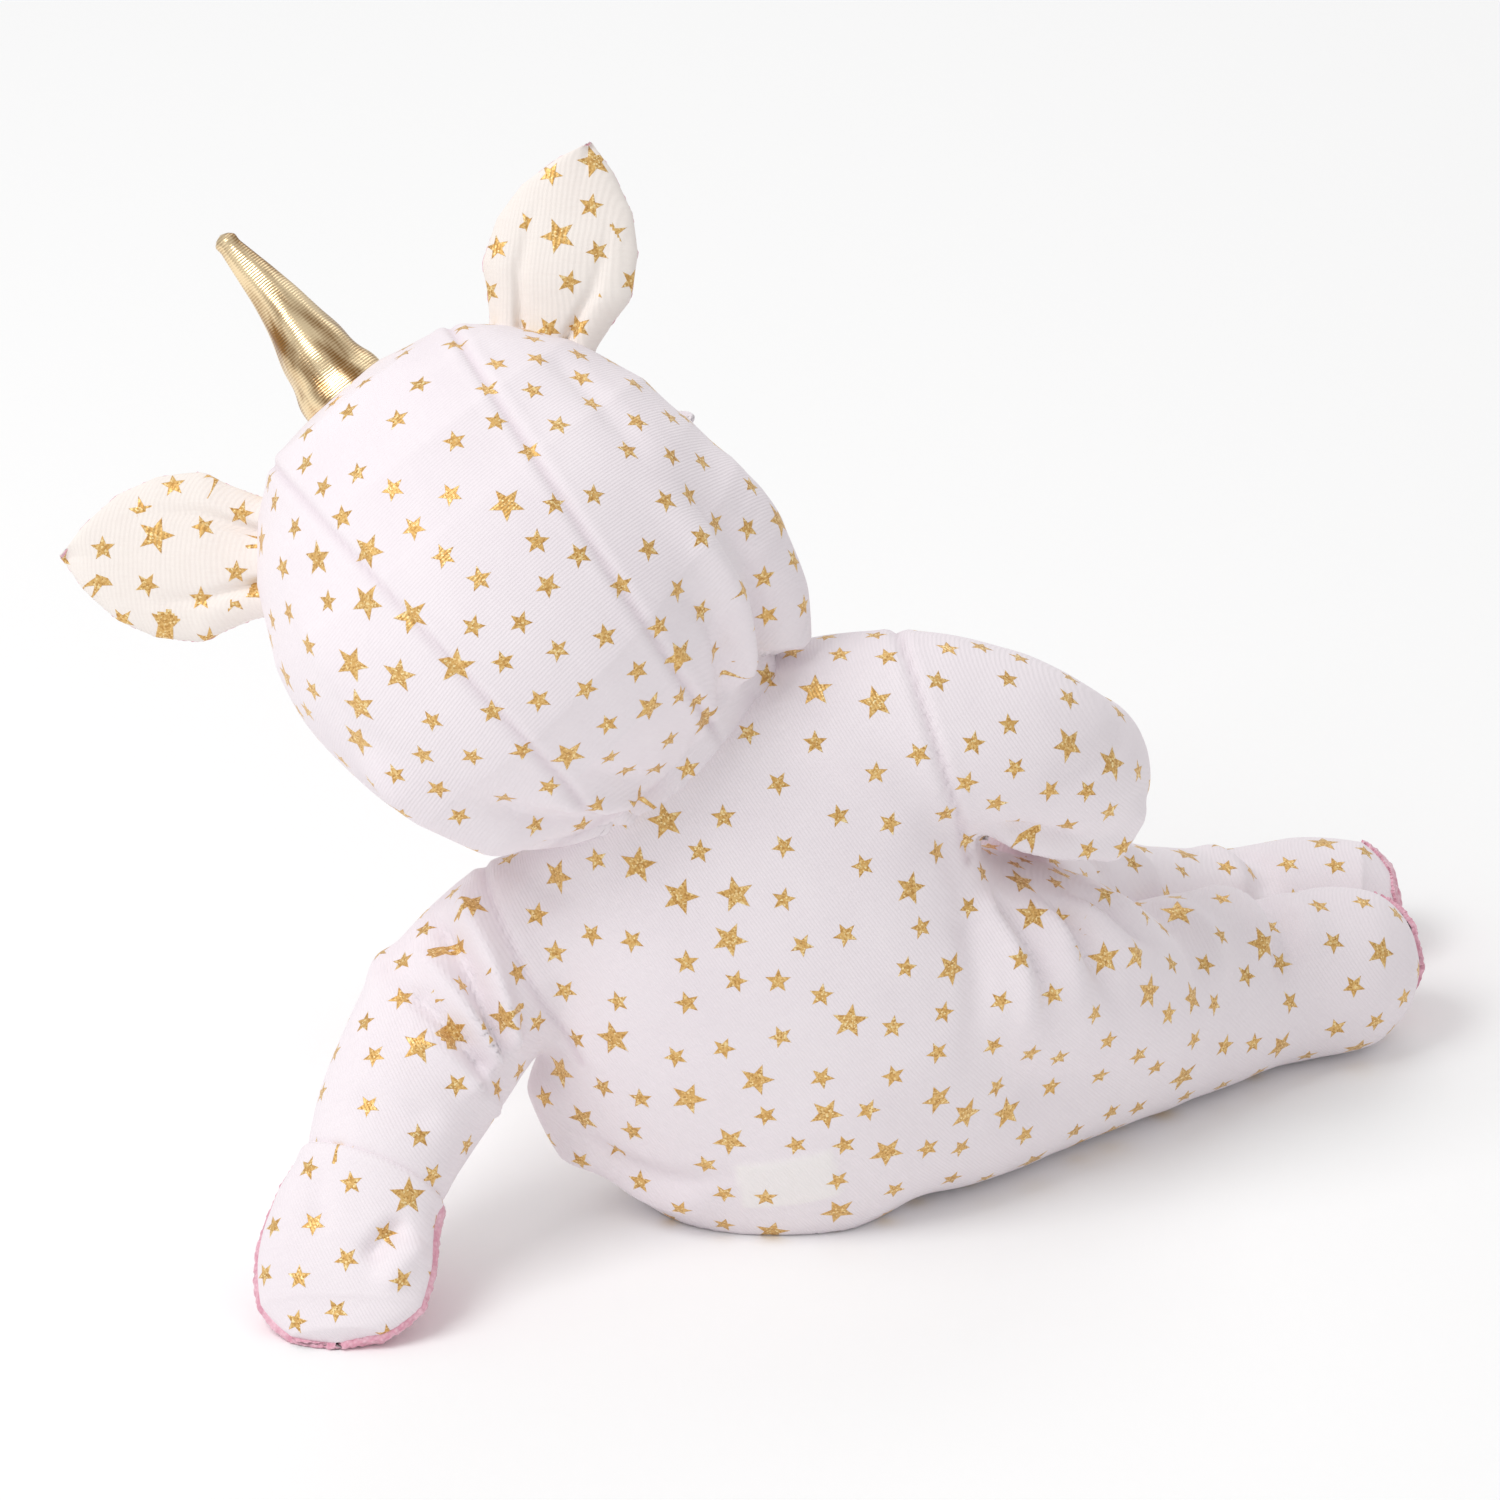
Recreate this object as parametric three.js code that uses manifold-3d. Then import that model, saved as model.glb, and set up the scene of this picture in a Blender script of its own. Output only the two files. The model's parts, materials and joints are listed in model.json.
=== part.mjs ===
// A soft-bodied baby doll in a hooded unicorn sleep suit, lying on its left side and propped on its left
// arm. Millimetres, +Z up. +Y points away from the doll's back, +X towards its feet. The origin is the
// middle of the box around the doll, on the surface that it lies on.
import * as THREE from "three";
import { mergeVertices } from "three/addons/utils/BufferGeometryUtils.js";
import Module from "manifold-3d";

const wasm = await Module();
wasm.setup();

// ---- driving dimensions ----
const JERSEY = 1.4; // printed jersey with its seam allowance, as a wall
const PLUSH = 1.6; // pink pile fabric, as a wall
const SEAM_GAP = 0.5; // between two panels sewn edge to edge
const LAYER_GAP = 1.2; // between a cover and its lining
const FIT_GAP = 1.4; // between the suit and the body in it
const MOVE_GAP = 1.2; // between a moving limb and what it swings past
const SOCKET_GAP = 4.5; // between a limb's root and the stuffed body round it
const VINYL = 2.6; // wall of the rotocast head
const TIE_WIDTH = 3; // cable tie that closes the cloth round a limb's groove
const TIE_WALL = 2.2;
const FLANGE_WALL = 4; // disc at a limb's end, inside the cloth body

const v3 = (x, y, z) => new THREE.Vector3(x, y, z);

// ---- the pose: where the joints are and which way things point ----
const LEFT_SHOULDER = v3(-63, -2, 84);
const RIGHT_SHOULDER = v3(50, 9.5, 142);
const SHOULDER_LINE = RIGHT_SHOULDER.clone().sub(LEFT_SHOULDER).normalize();
const LEFT_ARM_OUT = SHOULDER_LINE.clone().negate();
const RIGHT_ARM_OUT = v3(0.95, 0.13, 0.28).normalize();
const LEFT_HIP = v3(44, 14, 31);
const RIGHT_HIP = v3(64, 34, 68);
const NECK = v3(-22, 5, 145);
const NECK_LINE = v3(-0.56, 0.01, 0.83).normalize(); // up the neck
const HEAD_CENTRE = v3(-67.2, 6, 191);
const HEAD_RIGHT = v3(0.788, 0.26, 0.558).normalize();
const HORN_LINE = v3(-0.616, 0.333, 0.714).normalize();
const HOOD_FRONT = new THREE.Vector3().crossVectors(HORN_LINE, HEAD_RIGHT).normalize();
const HORN_LEAN = THREE.MathUtils.degToRad(30); // the horn stands this far forward of the crown
const lean = (a, b) =>
  a.clone().multiplyScalar(Math.cos(HORN_LEAN)).addScaledVector(b, Math.sin(HORN_LEAN));
const FACE_LINE = lean(HOOD_FRONT, HORN_LINE); // straight out of the face
const CROWN_LINE = lean(HORN_LINE, HOOD_FRONT.clone().negate());
const UPRIGHT = v3(0, 0, 1);

// ---- joints: a point on the hinge, its axis and its limits in degrees ----
const JOINTS = {
  head_nod: { pivot: NECK, axis: SHOULDER_LINE, range: [-10, 12] },
  head_turn: { pivot: NECK, axis: NECK_LINE, range: [-35, 35] },
  left_arm: { pivot: LEFT_SHOULDER, axis: LEFT_ARM_OUT, range: [0, 60] },
  right_arm: { pivot: RIGHT_SHOULDER, axis: RIGHT_ARM_OUT, range: [0, 60] },
  left_leg: { pivot: LEFT_HIP, axis: UPRIGHT, range: [-30, 0] },
  right_leg: { pivot: RIGHT_HIP, axis: UPRIGHT, range: [0, 30] },
};

// ---- materials ----
const material = (color, roughness, metalness = 0) =>
  new THREE.MeshStandardMaterial({ color, roughness, metalness });
const FINISH = {
  jersey: material(0xf3ebef, 0.9),
  plush: material(0xf0c4d2, 1.0),
  gold: material(0xd8b26a, 0.35, 0.9),
  skin: material(0xf2cdb8, 0.55),
  cloth: material(0xf1e2da, 0.95),
  fill: material(0xfafafa, 1.0),
  tie: material(0xf5f5f0, 0.5),
  snap: material(0xf7f3f0, 0.4),
  label: material(0xffffff, 0.8),
};

// ---- a loft: ellipses carried along a smooth path ----
// Each station is [x, y, z, half width along the side direction, half depth across it]. The loft gives the
// point at u round it and v along it, off millimetres outside it, pressed flat where it meets the ground.
function loft(stations, side, power = 2) {
  const path = new THREE.CatmullRomCurve3(stations.map((s) => v3(s[0], s[1], s[2])), false, "centripetal");
  const size = new THREE.CatmullRomCurve3(stations.map((s) => v3(s[3], s[4], 0)), false, "chordal");
  const round = (x) => Math.sign(x) * Math.abs(x) ** (2 / power);
  const slopeAt = (v) => {
    const before = Math.max(v - 0.01, 0);
    const after = Math.min(v + 0.01, 1);
    return (size.getPoint(after).x - size.getPoint(before).x)
      / path.getPoint(after).distanceTo(path.getPoint(before));
  };
  const point = (u, v, off = 0) => {
    const line = path.getTangent(THREE.MathUtils.clamp(v, 0.001, 0.999));
    const across = side.clone().addScaledVector(line, -side.dot(line)).normalize();
    const deep = new THREE.Vector3().crossVectors(line, across);
    const half = size.getPoint(v);
    const [c, s] = [Math.cos(2 * Math.PI * u), Math.sin(2 * Math.PI * u)];
    const outward = half.x < 0.01
      ? line.clone().multiplyScalar(v < 0.5 ? -1 : 1)
      : across.clone().multiplyScalar(c / half.x).addScaledVector(deep, s / half.y).normalize()
        .addScaledVector(line, -slopeAt(v)).normalize();
    const found = path.getPoint(v).addScaledVector(across, Math.max(half.x, 0) * round(c))
      .addScaledVector(deep, Math.max(half.y, 0) * round(s)).addScaledVector(outward, off);
    found.z = Math.max(found.z, -off);
    return found;
  };
  point.middle = (v) => path.getPoint(v);
  return point;
}

// Triangles as a flat list of corners. Two layers of one wall split their quads along the same diagonal,
// so that nested walls stay nested, and a triangle that a pole makes empty is left out.
function triangles() {
  const corners = [];
  const push = (...points) => {
    const [a, b, c] = points;
    if (a.distanceTo(b) < 1e-3 || b.distanceTo(c) < 1e-3 || a.distanceTo(c) < 1e-3) return;
    points.forEach((p) => corners.push(p.x, p.y, p.z));
  };
  const quad = (a, b, c, d, inside = false) => {
    push(...(inside ? [a, c, b] : [a, b, c]));
    push(...(inside ? [a, d, c] : [a, c, d]));
  };
  const layer = (rows, round, inside = false) => {
    for (let j = 0; j < rows.length - 1; j++) {
      const count = round ? rows[j].length : rows[j].length - 1;
      for (let i = 0; i < count; i++) {
        const k = (i + 1) % rows[j].length;
        quad(rows[j][i], rows[j + 1][i], rows[j + 1][k], rows[j][k], inside);
      }
    }
  };
  return { corners, push, quad, layer };
}

function asSolid(corners) {
  const loose = new THREE.BufferGeometry();
  loose.setAttribute("position", new THREE.Float32BufferAttribute(corners, 3));
  const merged = mergeVertices(loose, 1e-3);
  const made = new wasm.Manifold(new wasm.Mesh({
    numProp: 3,
    vertProperties: merged.attributes.position.array,
    triVerts: new Uint32Array(merged.index.array),
  }));
  if (made.volume() > 0) return made;
  const turned = [];
  for (let i = 0; i < corners.length; i += 9) {
    turned.push(...corners.slice(i, i + 3), ...corners.slice(i + 6, i + 9), ...corners.slice(i + 3, i + 6));
  }
  return asSolid(turned);
}

const spread = (from, to, count) =>
  Array.from({ length: count + 1 }, (_, i) => from + ((to - from) * i) / count);
const roundabout = (count) => spread(0, 1, count).slice(0, count);

// A solid filled up to off outside the skin, flat or pointed at its ends.
function filled(skin, us, vs, off = 0) {
  const rows = vs.map((v) => us.map((u) => skin(u, v, off)));
  const { corners, push, layer } = triangles();
  layer(rows, true);
  for (const [row, last] of [[rows[0], false], [rows.at(-1), true]]) {
    const middle = row.reduce((sum, p) => sum.add(p), v3(0, 0, 0)).divideScalar(row.length);
    row.forEach((p, i) => {
      const q = row[(i + 1) % row.length];
      if (last) push(p, middle, q);
      else push(p, q, middle);
    });
  }
  return asSolid(corners);
}

// A wall between two distances from the skin: a tube all the way round, or a panel from its first u to its
// last.
function wall(skin, us, vs, { inner, outer = 0, tube = false }) {
  const points = (off) => vs.map((v) => us.map((u) => skin(u, v, off)));
  const out = points(outer);
  const ins = points(inner);
  const made = triangles();
  made.layer(out, tube);
  made.layer(ins, tube, true);
  const top = vs.length - 1;
  const side = us.length - 1;
  for (let i = 0; i < (tube ? us.length : side); i++) {
    const k = (i + 1) % us.length;
    made.quad(out[0][i], out[0][k], ins[0][k], ins[0][i]);
    made.quad(out[top][k], out[top][i], ins[top][i], ins[top][k]);
  }
  if (!tube) {
    for (let j = 0; j < top; j++) {
      made.quad(out[j][0], ins[j][0], ins[j + 1][0], out[j + 1][0]);
      made.quad(out[j + 1][side], ins[j + 1][side], ins[j][side], out[j][side]);
    }
  }
  return asSolid(made.corners);
}

// three.js geometry as a solid, placed by a matrix.
function solidOf(geometry, matrix = new THREE.Matrix4()) {
  const bare = geometry.index ? geometry.toNonIndexed() : geometry.clone();
  bare.applyMatrix4(matrix);
  return asSolid(Array.from(bare.attributes.position.array));
}

// A matrix that takes +Y to a direction and the origin to a point; side settles the turn about it.
function stand(at, up, side = v3(1, 0, 0)) {
  const y = up.clone().normalize();
  const x = side.clone().addScaledVector(y, -side.dot(y)).normalize();
  const z = new THREE.Vector3().crossVectors(x, y);
  return new THREE.Matrix4().makeBasis(x, y, z).setPosition(at);
}

const step = (point, line, distance) => point.clone().addScaledVector(line, distance);
const along = (from, to, share) => from.clone().lerp(to, share);
function rod(foot, line, radius, length, sides = 16) {
  const round = new THREE.CylinderGeometry(radius, radius, length, sides);
  return solidOf(round, stand(step(foot, line, length / 2), line));
}

// A ring about an axis, such as a cable tie.
function ring(middle, axis, radius, thick, width, sides = 16) {
  const half = width / 2;
  const profile = [[radius, -half], [radius + thick, -half], [radius + thick, half], [radius, half],
    [radius, -half]].map(([x, y]) => new THREE.Vector2(x, y));
  return solidOf(new THREE.LatheGeometry(profile, sides), stand(middle, axis));
}

// A large block that keeps what is ahead of a plane.
function ahead(point, direction, reach = 400) {
  const block = new THREE.BoxGeometry(reach, reach, reach);
  return solidOf(block, stand(step(point, direction, reach / 2), direction));
}

// Everything that a solid passes through as it turns from one limit to the other.
function swept(solid, { pivot, axis, range }, most = 15) {
  const turns = Math.ceil((range[1] - range[0]) / most);
  const poses = spread(range[0], range[1], turns).map((degrees) => {
    const move = new THREE.Matrix4().makeTranslation(pivot)
      .multiply(new THREE.Matrix4().makeRotationAxis(axis, THREE.MathUtils.degToRad(degrees)))
      .multiply(new THREE.Matrix4().makeTranslation(pivot.clone().negate()));
    return solid.transform(Array.from(move.elements));
  });
  return poses.reduce((sum, pose) => sum.add(pose));
}
const backwards = ({ pivot, axis, range }) => ({ pivot, axis, range: [-range[1], -range[0]] });

// ---- head and hood ----
const at = (p, wide, deep) => [p.x, p.y, p.z, wide, deep];
const HOOD_TOP = step(HEAD_CENTRE, HORN_LINE, 73);
const HOOD_END = step(NECK, NECK_LINE, 1.2);
const hood = loft([
  at(HOOD_TOP, 0, 0),
  at(along(HOOD_TOP, HEAD_CENTRE, 0.08), 31, 30),
  at(along(HOOD_TOP, HEAD_CENTRE, 0.21), 43.5, 43),
  at(along(HOOD_TOP, HEAD_CENTRE, 0.41), 55.5, 56),
  at(along(HOOD_TOP, HEAD_CENTRE, 0.7), 65, 65),
  at(HEAD_CENTRE, 68.5, 68),
  at(along(HEAD_CENTRE, HOOD_END, 0.3), 67.5, 66),
  at(along(HEAD_CENTRE, HOOD_END, 0.6), 62, 57),
  at(along(HEAD_CENTRE, HOOD_END, 0.82), 52, 42),
  at(HOOD_END, 41.5, 28),
], HEAD_RIGHT);
const HOOD_ROUND = roundabout(18);
const HOOD_ROWS = spread(0, 1, 11);

const hoodShell = wall(hood, HOOD_ROUND, HOOD_ROWS, { inner: -JERSEY, tube: true });
const LINING_OUT = JERSEY + LAYER_GAP;
const liningShell = wall(hood, HOOD_ROUND, HOOD_ROWS,
  { inner: -LINING_OUT - PLUSH, outer: -LINING_OUT, tube: true });
const FACE_WIDE = 40;
const FACE_TALL = 45;
const facePort = solidOf(new THREE.SphereGeometry(1, 20, 12),
  stand(step(HEAD_CENTRE, FACE_LINE, 70), CROWN_LINE, HEAD_RIGHT)
    .multiply(new THREE.Matrix4().makeScale(FACE_WIDE, FACE_TALL, 50)));

// The hood's middle panel is a wedge, wider over the forehead than at the neck.
const PANEL_TOP = 31.5;
const PANEL_NECK = 20;
function middleWedge(extra) {
  const length = 200;
  const slope = (PANEL_TOP - PANEL_NECK) / 140;
  const top = PANEL_TOP + slope * 30 + extra;
  const bottom = top - slope * length;
  const outline = new THREE.Shape([[-top, 100], [-bottom, -100], [bottom, -100], [top, 100]]
    .map(([x, y]) => new THREE.Vector2(x, y)));
  const block = new THREE.ExtrudeGeometry(outline, { depth: length, bevelEnabled: false });
  block.translate(0, 0, -length / 2);
  return solidOf(block, stand(HEAD_CENTRE, HORN_LINE, HEAD_RIGHT));
}
const openHood = hoodShell.subtract(facePort);
const hoodSides = openHood.subtract(middleWedge(SEAM_GAP / 2));
const rightHalf = ahead(HEAD_CENTRE, HEAD_RIGHT);
const hoodMiddle = openHood.intersect(middleWedge(-SEAM_GAP / 2));
const hoodRight = hoodSides.intersect(rightHalf);
const hoodLeft = hoodSides.subtract(rightHalf);
const hoodLining = liningShell.subtract(facePort);

// The vinyl head: a hollow egg inside the hood, with a grooved neck that the cloth body is tied into.
const HEAD_INSET = LINING_OUT + PLUSH + FIT_GAP;
const NECK_BORE = 12;
const NECK_GROOVE = 17;
const NECK_FLANGE = 22;
const NECK_REACH = 14; // the flange lies this far into the body
const headSkin = filled(hood, HOOD_ROUND, HOOD_ROWS.slice(0, -2), -HEAD_INSET);
const headHollow = filled(hood, HOOD_ROUND, HOOD_ROWS.slice(1, -2), -HEAD_INSET - VINYL);
const neckFoot = step(NECK, NECK_LINE, -NECK_REACH);
const vinylHead = headSkin.subtract(headHollow)
  .add(rod(neckFoot, NECK_LINE, NECK_GROOVE, NECK_REACH + 20))
  .add(rod(neckFoot, NECK_LINE, NECK_FLANGE, FLANGE_WALL))
  .subtract(rod(step(neckFoot, NECK_LINE, -5), NECK_LINE, NECK_BORE, NECK_REACH + 60));
const neckTie = ring(step(NECK, NECK_LINE, -5), NECK_LINE, NECK_GROOVE + 0.5, TIE_WALL, TIE_WIDTH);

// ---- horn: a stuffed cone of gold cloth with a knob at its tip ----
const HORN_LENGTH = 56;
const HORN_BASE = 12.6;
const HORN_SHIFT = -3; // to the doll's left of the middle
const HORN_WALL = 1.1;
const HORN_SINK = 3; // below the hood's top
const hornFoot = step(step(HOOD_TOP, HEAD_RIGHT, HORN_SHIFT), HORN_LINE, -HORN_SINK);
const hornPlace = stand(hornFoot, HORN_LINE, HEAD_RIGHT);
function hornShape(inset, foot) {
  const shares = [[0.8, 0.25], [0.56, 0.5], [0.34, 0.8], [0.26, 0.95]];
  const outline = [[HORN_BASE, foot], ...shares.map(([x, y]) => [HORN_BASE * x, HORN_LENGTH * y])];
  const profile = outline.map(([x, y]) => new THREE.Vector2(x - inset, y - inset * 0.5));
  const start = new THREE.Vector2(0, foot - inset * 0.5);
  const tip = new THREE.Vector2(0, HORN_LENGTH - 2 * inset);
  return solidOf(new THREE.LatheGeometry([start, ...profile, tip], 16), hornPlace);
}
const HOOD_FAT = filled(hood, HOOD_ROUND, HOOD_ROWS, 0.5);
const hornCover = hornShape(0, -4).subtract(hornShape(HORN_WALL, -6)).subtract(HOOD_FAT);
const hornFill = hornShape(HORN_WALL + 0.4, -4).subtract(HOOD_FAT);

// ---- ears: a leaf-shaped pad, jersey behind and plush in front, sewn in at its base ----
const EAR_LENGTH = 54;
const EAR_PLACE = THREE.MathUtils.degToRad(46); // from the horn, round the head
const EAR_LEAN = THREE.MathUtils.degToRad(52);
const EAR_RANGE = [-20, 20];
const EAR_SEAM = 0.2;
function ear(sign) {
  const outwards = (angle) => step(v3(0, 0, 0), HORN_LINE, Math.cos(angle))
    .addScaledVector(HEAD_RIGHT, sign * Math.sin(angle));
  const line = outwards(EAR_LEAN);
  const foot = step(HEAD_CENTRE, outwards(EAR_PLACE), 71.5);
  const wide = new THREE.Vector3().crossVectors(line, HOOD_FRONT).normalize();
  const leaf = loft([[0, 18, 3.2], [0.12, 20, 4.4], [0.3, 23.5, 5], [0.5, 22.5, 5], [0.7, 17.5, 4.2],
    [0.88, 8, 3], [1, 0, 0]].map(([share, a, b]) => at(step(foot, line, EAR_LENGTH * share), a, b)), wide);
  const joint = { pivot: foot, axis: wide, range: EAR_RANGE };
  const pad = filled(leaf, roundabout(12), spread(0, 1, 7)).subtract(swept(HOOD_FAT, backwards(joint)));
  return {
    joint,
    back: pad.intersect(ahead(step(foot, HOOD_FRONT, -EAR_SEAM), HOOD_FRONT.clone().negate())),
    front: pad.intersect(ahead(step(foot, HOOD_FRONT, EAR_SEAM), HOOD_FRONT)),
  };
}
const ears = { left: ear(-1), right: ear(1) };

// ---- torso: round it, u is 0 at the doll's right side, 1/4 at the spine and 3/4 at the breastbone ----
const torso = loft([
  [-22, 5, 144.5, 41, 25],
  [-18, 4.5, 138, 53, 28],
  [-9, 4, 121, 62, 34],
  [-1, 3.5, 100, 64, 38],
  [6, 4, 75, 69, 41],
  [15, 7, 53, 70, 42],
  [27, 11, 35, 64, 41],
  [40, 15, 22, 52, 36],
  [48, 18, 13, 32, 24],
  [51, 19, 10, 0, 0],
], SHOULDER_LINE, 2.2);
const TORSO_COLUMNS = 20;
const TORSO_ROWS = [...spread(0, 8 / 9, 12), 0.97];
const SPINE = 0.25;
const FRONT = 0.75;
const SEAM_TURN = SEAM_GAP / 2 / 400; // half a seam gap, as a share of the way round the body
const columns = (from, to, parts) => spread(from + SEAM_TURN, to - SEAM_TURN, parts);
const BODY_INSET = JERSEY + FIT_GAP;
const torsoBlock = filled(torso, roundabout(TORSO_COLUMNS), TORSO_ROWS, -BODY_INSET);
const panel = (from, to) =>
  wall(torso, columns(from, to, TORSO_COLUMNS * (to - from)), TORSO_ROWS, { inner: -JERSEY });

const PLACKET_HALF = 0.018;
const PLACKET_OUT = 1.8;
const PLACKET_IN = 0.4;
const placketRows = TORSO_ROWS.slice(1, 9);
const placket = wall(torso, [FRONT - PLACKET_HALF, FRONT, FRONT + PLACKET_HALF], placketRows,
  { inner: PLACKET_IN, outer: PLACKET_OUT });
const STUD_ROWS = [2, 4, 6];
const STUD_RADIUS = 4;
const STUD_THICK = 1.6;
const studs = STUD_ROWS.map((row) => {
  const surface = torso(FRONT, TORSO_ROWS[row], PLACKET_OUT);
  const out = step(torso(FRONT, TORSO_ROWS[row], PLACKET_OUT + 1), surface, -1);
  return rod(step(surface, out, 0.6), out, STUD_RADIUS, STUD_THICK, 12);
});

// Care label, flat between the suit and the body, low on the left of the back.
const LABEL_INNER = -JERSEY - 0.9;
const LABEL_OUTER = -JERSEY - 0.5;
const label = wall(torso, [SPINE, 0.3, 0.35], TORSO_ROWS.slice(8, 10),
  { inner: LABEL_INNER, outer: LABEL_OUTER });

// ---- limbs: a path of widths and depths from inside the body to the tip ----
const ARMHOLE_DEPTH = 12; // the arm starts this far inside the shoulder
const PALM_SIDE = { left: v3(0.98, -0.2, 0.05), right: v3(0.25, -0.35, 0.9) };
const armSkin = {
  left: loft([
    at(step(LEFT_SHOULDER, LEFT_ARM_OUT, -ARMHOLE_DEPTH), 24, 24),
    at(step(LEFT_SHOULDER, LEFT_ARM_OUT, 3), 25, 25),
    [-83, -15, 68, 26, 25],
    [-97, -36, 50, 24.5, 23],
    [-105, -51, 36, 21.5, 19],
    [-110, -60, 27.5, 23, 14],
    [-113, -70, 18, 24.5, 11],
    [-114, -79, 9, 22.5, 8.5],
    [-114.5, -86, 3.5, 13, 5],
    [-114.5, -88, 2, 0, 0],
  ], PALM_SIDE.left),
  right: loft([
    at(step(RIGHT_SHOULDER, RIGHT_ARM_OUT, -ARMHOLE_DEPTH), 26, 26),
    at(step(RIGHT_SHOULDER, RIGHT_ARM_OUT, 3), 26.5, 26.5),
    [74, 15, 137, 25.5, 25.5],
    [88, 25, 125, 24.5, 24.5],
    [92, 42, 117, 22, 21.5],
    [89, 56, 112, 22.5, 15],
    [85, 66, 108.5, 24, 12],
    [80, 76, 105, 22, 9.5],
    [75, 84, 102, 12, 5.5],
    [74, 86, 101, 0, 0],
  ], PALM_SIDE.right),
};
const LIMB_ROWS = spread(0, 1, 9);
const CUFF = 4; // the mitten is sewn to the sleeve at this row
const LEG_SIDE = v3(-0.6, 0.78, 0.15);
const legSkin = {
  left: loft([
    [36, 4, 30, 28, 28],
    [59, 20, 28.5, 29.5, 29.5],
    [86, 43, 28, 29, 29],
    [111, 63, 27, 28, 28],
    [134, 81, 25.5, 26.5, 26.5],
    [152, 94, 23.5, 24, 24.5],
    [168, 101, 24, 25, 25],
    [184, 104, 24, 23, 23],
    [194, 104, 24, 13, 13],
    [197.5, 104, 24, 0, 0],
  ], LEG_SIDE),
  right: loft([
    [60, 22, 68, 24, 24],
    [69, 46, 66, 24.5, 24.5],
    [83, 79, 53, 23.5, 24],
    [104, 113, 36, 22.5, 22.5],
    [128, 139, 22, 22, 21.5],
    [149, 154, 18, 20, 19],
    [166, 161, 17.5, 22, 18.5],
    [182, 162, 17, 20, 17],
    [191, 161, 17, 11, 10],
    [194, 161, 17, 0, 0],
  ], LEG_SIDE),
};
const ANKLE = 5; // the foot is sewn to the trouser leg at this row
const SOLE = 0.755; // and the sole to the foot here, as a share of the path
const LIMB_ROUND = roundabout(12);
const STITCH = 0.005; // half the gap at a seam across a limb, as a share of its path

// Rows of a limb from one row to another, short of both by a seam where asked.
const rowsOf = (from, to, first = 0, last = 0) =>
  LIMB_ROWS.slice(from, to + 1).map((v, i) => v + (i === 0 ? first : 0) - (i === to - from ? last : 0));

// Where a limb starts inside the body, and which way it leaves.
function rootOf(skin) {
  const point = skin.middle(0);
  return { point, line: skin.middle(0.05).sub(point).normalize(), radius: skin(0, 0).distanceTo(point) };
}

// The body of a limb: stuffed, with a groove at its root for the cable tie, and a flange that the tie
// holds.
const GROOVE_FOOT = 2;
function limbBody(skin, groove) {
  const { point, line } = rootOf(skin);
  const foot = step(point, line, GROOVE_FOOT);
  const reach = skin.middle(LIMB_ROWS[1]).distanceTo(point);
  const body = filled(skin, LIMB_ROUND, rowsOf(1, 8), -BODY_INSET)
    .add(rod(foot, line, groove, reach, 12))
    .add(rod(foot, line, groove + 4, FLANGE_WALL, 12));
  const tie = ring(step(foot, line, FLANGE_WALL + 2), line, groove + 0.6, TIE_WALL, TIE_WIDTH);
  return { body, tie };
}

function arm(skin) {
  const mittenRows = [...rowsOf(CUFF, 8, STITCH), 0.95];
  const halfMitten = (from, thick) =>
    wall(skin, spread(from + 0.006, from + 0.494, 6), mittenRows, { inner: -thick });
  return {
    sleeve: wall(skin, LIMB_ROUND, rowsOf(0, CUFF, 0, STITCH), { inner: -JERSEY, tube: true }),
    mitten_back: halfMitten(0, JERSEY),
    mitten_palm: halfMitten(0.5, PLUSH),
    ...limbBody(skin, 10),
  };
}

function leg(skin) {
  const footRows = [...rowsOf(ANKLE, 6, STITCH), SOLE - STITCH];
  return {
    trouser: wall(skin, LIMB_ROUND, rowsOf(0, ANKLE, 0, STITCH), { inner: -JERSEY, tube: true }),
    foot_upper: wall(skin, LIMB_ROUND, footRows, { inner: -JERSEY, tube: true }),
    sole: filled(skin, LIMB_ROUND, [SOLE + STITCH, ...rowsOf(7, 9)])
      .subtract(filled(skin, LIMB_ROUND, [SOLE - 0.02, SOLE + STITCH, ...rowsOf(7, 9)], -PLUSH)),
    ...limbBody(skin, 12),
  };
}

const arms = { left: arm(armSkin.left), right: arm(armSkin.right) };
const legs = { left: leg(legSkin.left), right: leg(legSkin.right) };

// ---- room for what moves ----
function fat(skin, us, vs, gap) {
  const { point, line, radius } = rootOf(skin);
  return filled(skin, us, vs, gap).add(rod(step(point, line, -gap), line, radius + gap, 2 * gap, us.length));
}
const limbRoom = [
  [armSkin.left, JOINTS.left_arm],
  [armSkin.right, JOINTS.right_arm],
  [legSkin.left, JOINTS.left_leg],
  [legSkin.right, JOINTS.right_leg],
].map(([skin, joint]) => ({
  close: swept(fat(skin, LIMB_ROUND, LIMB_ROWS, MOVE_GAP), joint),
  coarse: swept(fat(skin, roundabout(8), LIMB_ROWS.slice(0, 6), SOCKET_GAP), joint, 30),
}));
const headFat = filled(hood, HOOD_ROUND, HOOD_ROWS.slice(7), MOVE_GAP);
const headRoom = swept(swept(headFat, JOINTS.head_turn), JOINTS.head_nod);
const neckFat = rod(step(neckFoot, NECK_LINE, -3), NECK_LINE, NECK_FLANGE + MOVE_GAP, NECK_REACH + 12);
const neckRoom = swept(neckFat, JOINTS.head_nod);
const clear = (solid) =>
  limbRoom.reduce((left, room) => left.subtract(room.close), solid.subtract(headRoom));
const torsoBody = limbRoom.reduce((left, room) => left.subtract(room.coarse),
  torsoBlock.subtract(headRoom).subtract(neckRoom));

// The right leg lies over the left one, and both are soft, so it is pressed in where they meet.
const leftLegPast = swept(limbRoom[2].close, backwards(JOINTS.right_leg));
Object.keys(legs.right).forEach((name) => {
  legs.right[name] = legs.right[name].subtract(leftLegPast);
});

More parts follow.
